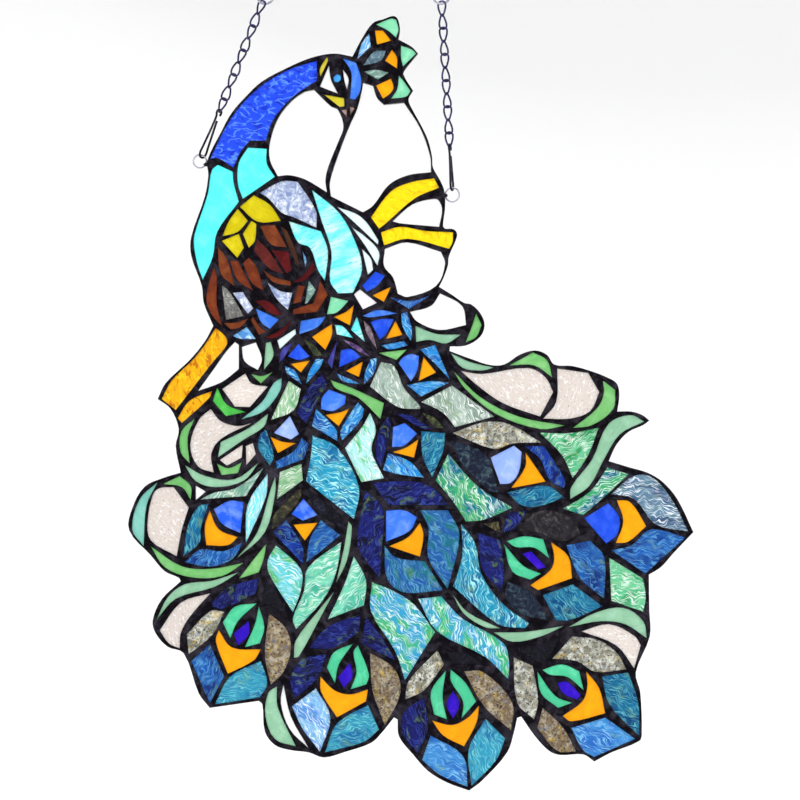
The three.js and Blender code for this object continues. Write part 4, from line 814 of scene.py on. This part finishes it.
def glassPiece(name, items, replaced):
    bm = bmesh.new()
    grain = bm.loops.layers.uv.new("grain")
    layers = [bm.loops.layers.float_color.new(key) for key in toneNames]
    way = glassKinds[items[0]["kind"]][0]
    for item in items:
        mesh = flatMesh("pane", [item["corners"]], glassSize["half"], 0, glassSize["bury"])
        first = len(bm.faces)
        bm.from_mesh(mesh)
        bpy.data.meshes.remove(mesh)
        bm.faces.ensure_lookup_table()
        axis = longAxis(item["corners"])
        turn = axis + random.choice((-1, 1)) * random.uniform(*grainSize["lean"])
        if way in ("crackle", "opal"):
            turn = axis
        shift = [random.uniform(*grainSize["shift"]) for side in range(2)]
        gain = random.uniform(*grainSize["gain"])
        tones = glassKinds[item["kind"]][1]
        colours = [[min(1.0, c * gain) for c in rgb(*tone)[:3]] + [1.0] for tone in tones]
        cosine, sine = math.cos(turn) * grainSize["perMetre"], math.sin(turn) * grainSize["perMetre"]
        for face in bm.faces[first:]:
            for loop in face.loops:
                x, z = loop.vert.co.x, loop.vert.co.z
                loop[grain].uv = (x * cosine + z * sine + shift[0], z * cosine - x * sine + shift[1])
                for layer, colour in zip(layers, colours):
                    loop[layer] = colour
    return finishMesh(bm, name, glassMaterials[way], replaced, slotName(items[0]["kind"]), 35)


ownNames = {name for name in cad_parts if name.endswith("_glass")}
tileSets = {}
for item in panes:
    node = item["name"] + "_glass"
    if node in ownNames:
        glassPiece(item["name"] + "_pane", [item], [node])
    else:
        tileSets.setdefault(item["kind"], []).append(item)
for kind, items in tileSets.items():
    glassPiece(snake(kind) + "_tiles", items, [])
print("glass made:", len(ownNames), "panes and", len(tileSets), "sets of tiles")

# Chains, hooks and rings on a straight line at each side.
hangSize = {
    "pitch": 0.01075, "wire": 0.0008, "half": 0.00608, "radius": 0.0035, "ring": 0.007, "ringWire": 0.001,
    "hookWire": 0.00095, "eye": 0.0025, "panelWire": 0.0007, "gap": 0.0003,
}


def wirePiece(name, loops, wire, material, replaced, slot, closed, steps=6):
    data = bpy.data.curves.new(name, "CURVE")
    data.dimensions = "3D"
    data.bevel_depth = wire
    data.bevel_resolution = 3
    data.use_fill_caps = True
    for points in loops:
        spline = data.splines.new("BEZIER")
        spline.use_cyclic_u = closed
        spline.resolution_u = steps
        spline.bezier_points.add(len(points) - 1)
        for knot, place in zip(spline.bezier_points, points):
            knot.co = place
            knot.handle_left_type = knot.handle_right_type = "AUTO"
    holder = bpy.data.objects.new(name, data)
    bpy.context.scene.collection.objects.link(holder)
    bpy.context.view_layer.update()
    bm = bmesh.new()
    mesh = bpy.data.meshes.new_from_object(holder)
    bm.from_mesh(mesh)
    bpy.data.meshes.remove(mesh)
    bpy.data.objects.remove(holder)
    bpy.data.curves.remove(data)
    return finishMesh(bm, name, material, replaced, slot)


def circle(centre, radius):
    angles = [2 * math.pi * i / 12 for i in range(12)]
    return [centre + Vector((radius * math.cos(a), 0, radius * math.sin(a))) for a in angles]


def hang(side, endX, ringAt, ringRadius, links, hookTurn):
    h = hangSize
    end = Vector((toPlane((endX, 0)).x, 0, -(h["ring"] - h["ringWire"])))
    flat = toPlane(ringAt)
    low = Vector((flat.x, 0, flat.y))
    down = (low - end).normalized()
    lean = Matrix.Rotation(math.atan2(-down.x, -down.z), 4, "Y")
    first = h["ring"] - h["ringWire"] - h["wire"] - h["gap"] + h["half"]

    def place(point, distance, turn):
        return end + down * distance + lean @ (Matrix.Rotation(turn, 4, "Z") @ point)

    wirePiece("end_ring_wire_" + side, [circle(end, h["ring"])], h["ringWire"], ringMaterial,
              ["end_ring_" + side], "bright_ring_wire", True)
    loops = []
    for i in range(links):
        turn = math.pi / 4 * (1 if i % 2 else -1)
        loop = []
        for k in range(12):
            angle = 2 * math.pi * (k + 0.5) / 12
            tall = h["radius"] * math.sin(angle) + math.copysign(h["half"] - h["radius"], math.sin(angle))
            twist = turn + 0.5 * tall / h["half"]
            point = Vector((h["radius"] * math.cos(angle), 0, tall))
            loop.append(place(point, first + i * h["pitch"], twist))
        loops.append(loop)
    wirePiece("chain_wire_" + side, loops, h["wire"], chainMaterial, ["chain_" + side], "blued_chain_wire",
              True, 4)
    eye = first + (links - 1) * h["pitch"] + h["half"] + h["eye"] - h["hookWire"] - h["wire"] - h["gap"]
    bar = (low - end).length - ringRadius + h["panelWire"] + h["hookWire"] + h["gap"]
    size = bar - eye
    bend = [
        (0.0019, 0.0022), (0.0025, 0), (0.0017, -0.0018), (0, -0.0025), (-0.0017, -0.0018), (-0.0025, 0),
        (-0.0015, 0.0029), (-0.0014, 0.009), (-0.0029, size - 0.009), (-0.0033, size - 0.0036),
        (-0.0023, size - 0.001), (0, size), (0.0023, size - 0.001), (0.0033, size - 0.0036),
        (0.0029, size - 0.009), (0.0013, 0.009), (0.0012, 0.0068),
    ]
    hook = [place(Vector((x, 0, -y)), eye, hookTurn) for x, y in bend]
    wirePiece("snap_hook_wire_" + side, [hook], h["hookWire"], hookMaterial, ["snap_hook_" + side],
              "dark_hook_wire", False)
    wirePiece("panel_ring_wire_" + side, [circle(low, ringRadius)], h["panelWire"], ringMaterial,
              ["panel_ring_" + side], "bright_ring_wire", True)


# A lump of solder that joins a panel ring to the rim.
blobSize = {"radii": (0.0026, 0.0022, 0.0017), "uneven": 0.08}


def blobPiece(name, ringAt, shift):
    bm = bmesh.new()
    bmesh.ops.create_icosphere(bm, subdivisions=3, radius=1)
    flat = toPlane(ringAt)
    for vert in bm.verts:
        wave = 1 + blobSize["uneven"] * math.sin(5 * vert.co.x + 3 * vert.co.z)
        lump = Vector(vert.co[i] * blobSize["radii"][i] for i in range(3))
        vert.co = Vector((flat.x + shift[0], 0, flat.y + shift[1])) + lump * wave
    return finishMesh(bm, name, solderMaterial, ["solder_lattice"], "dark_solder")


leftRing, rightRing = (199.9, 161.3), (452.4, 194.8)
hang("left", 265.3, leftRing, 0.0053, 9, math.radians(50))
hang("right", 441.3, rightRing, 0.0057, 11, math.radians(70))
blobPiece("ring_blob_left", leftRing, (0.0055, -0.0026))
blobPiece("ring_blob_right", rightRing, (-0.0062, -0.0004))
print("chains made")

# A plain pale round room that looks the same from each side.
roomSize = {
    "floor": -0.74, "radius": 3.2, "height": 3.0, "cove": 0.9, "white": 0.9, "coveSteps": 12, "sides": 96,
}
bm = bmesh.new()
profile = [bm.verts.new((0, 0, roomSize["floor"]))]
for i in range(roomSize["coveSteps"] + 1):
    angle = math.pi / 2 * i / roomSize["coveSteps"]
    x = roomSize["radius"] - roomSize["cove"] + roomSize["cove"] * math.sin(angle)
    z = roomSize["floor"] + roomSize["cove"] - roomSize["cove"] * math.cos(angle)
    profile.append(bm.verts.new((x, 0, z)))
profile.append(bm.verts.new((roomSize["radius"], 0, roomSize["floor"] + roomSize["height"])))
edges = [bm.edges.new(pair) for pair in zip(profile, profile[1:])]
bmesh.ops.spin(bm, geom=profile + edges, cent=(0, 0, 0), axis=(0, 0, 1), angle=2 * math.pi,
               steps=roomSize["sides"], use_merge=True, use_duplicate=False)
bmesh.ops.remove_doubles(bm, verts=bm.verts, dist=1e-6)
for face in bm.faces:
    face.smooth = True
roomMesh = bpy.data.meshes.new("pale room")
bm.to_mesh(roomMesh)
bm.free()
roomMaterial = bpy.data.materials.new("pale room")
roomMaterial.use_nodes = True
roomShader = roomMaterial.node_tree.nodes["Principled BSDF"]
roomShader.inputs["Base Color"].default_value = (*[roomSize["white"]] * 3, 1)
roomShader.inputs["Roughness"].default_value = 0.9
roomMesh.materials.append(roomMaterial)
room = bpy.data.objects.new("pale room", roomMesh)
bpy.context.scene.collection.objects.link(room)

world = bpy.data.worlds.new("soft light")
world.use_nodes = True
sky = world.node_tree.nodes["Background"].inputs
sky["Color"].default_value = (1, 1, 1, 1)
sky["Strength"].default_value = 0.5
bpy.context.scene.world = world


# A soft light: its place, what it faces, its width and height in metres and its power in watts.
def softLight(name, place, target, size, power):
    data = bpy.data.lights.new(name, "AREA")
    data.shape = "RECTANGLE"
    data.size, data.size_y = size
    data.energy = power
    lamp = bpy.data.objects.new(name, data)
    lamp.location = place
    lamp.rotation_euler = (Vector(target) - Vector(place)).to_track_quat("-Z", "Y").to_euler()
    bpy.context.scene.collection.objects.link(lamp)


panelMiddle = (0, 0, -0.35)
softLight("key", (-1.6, -2.0, 1.1), panelMiddle, (1.6, 1.6), 23)
softLight("fill", (1.9, -1.8, 0.5), panelMiddle, (1.4, 1.4), 14)
softLight("rear", (0.4, 2.0, 1.4), (0, 0.6, -0.35), (2.0, 1.4), 24)
softLight("above", (0, -0.3, 2.1), panelMiddle, (2.4, 2.4), 30)

# The camera looks straight at the middle of the drawing, from where the drawing fills its width.
view = {"lens": 85, "sensor": 36, "width": 800}
camera = bpy.data.objects.new("camera", bpy.data.cameras.new("camera"))
camera.data.lens = view["lens"]
camera.data.sensor_width = view["sensor"]
middle = toPlane((view["width"] / 2, view["width"] / 2))
camera.location = (middle.x, -view["width"] * unit * view["lens"] / view["sensor"], middle.y)
camera.rotation_euler = (math.pi / 2, 0, 0)
bpy.context.scene.collection.objects.link(camera)
bpy.context.scene.camera = camera
bpy.context.scene.view_settings.view_transform = "Standard"

print("scene ready")
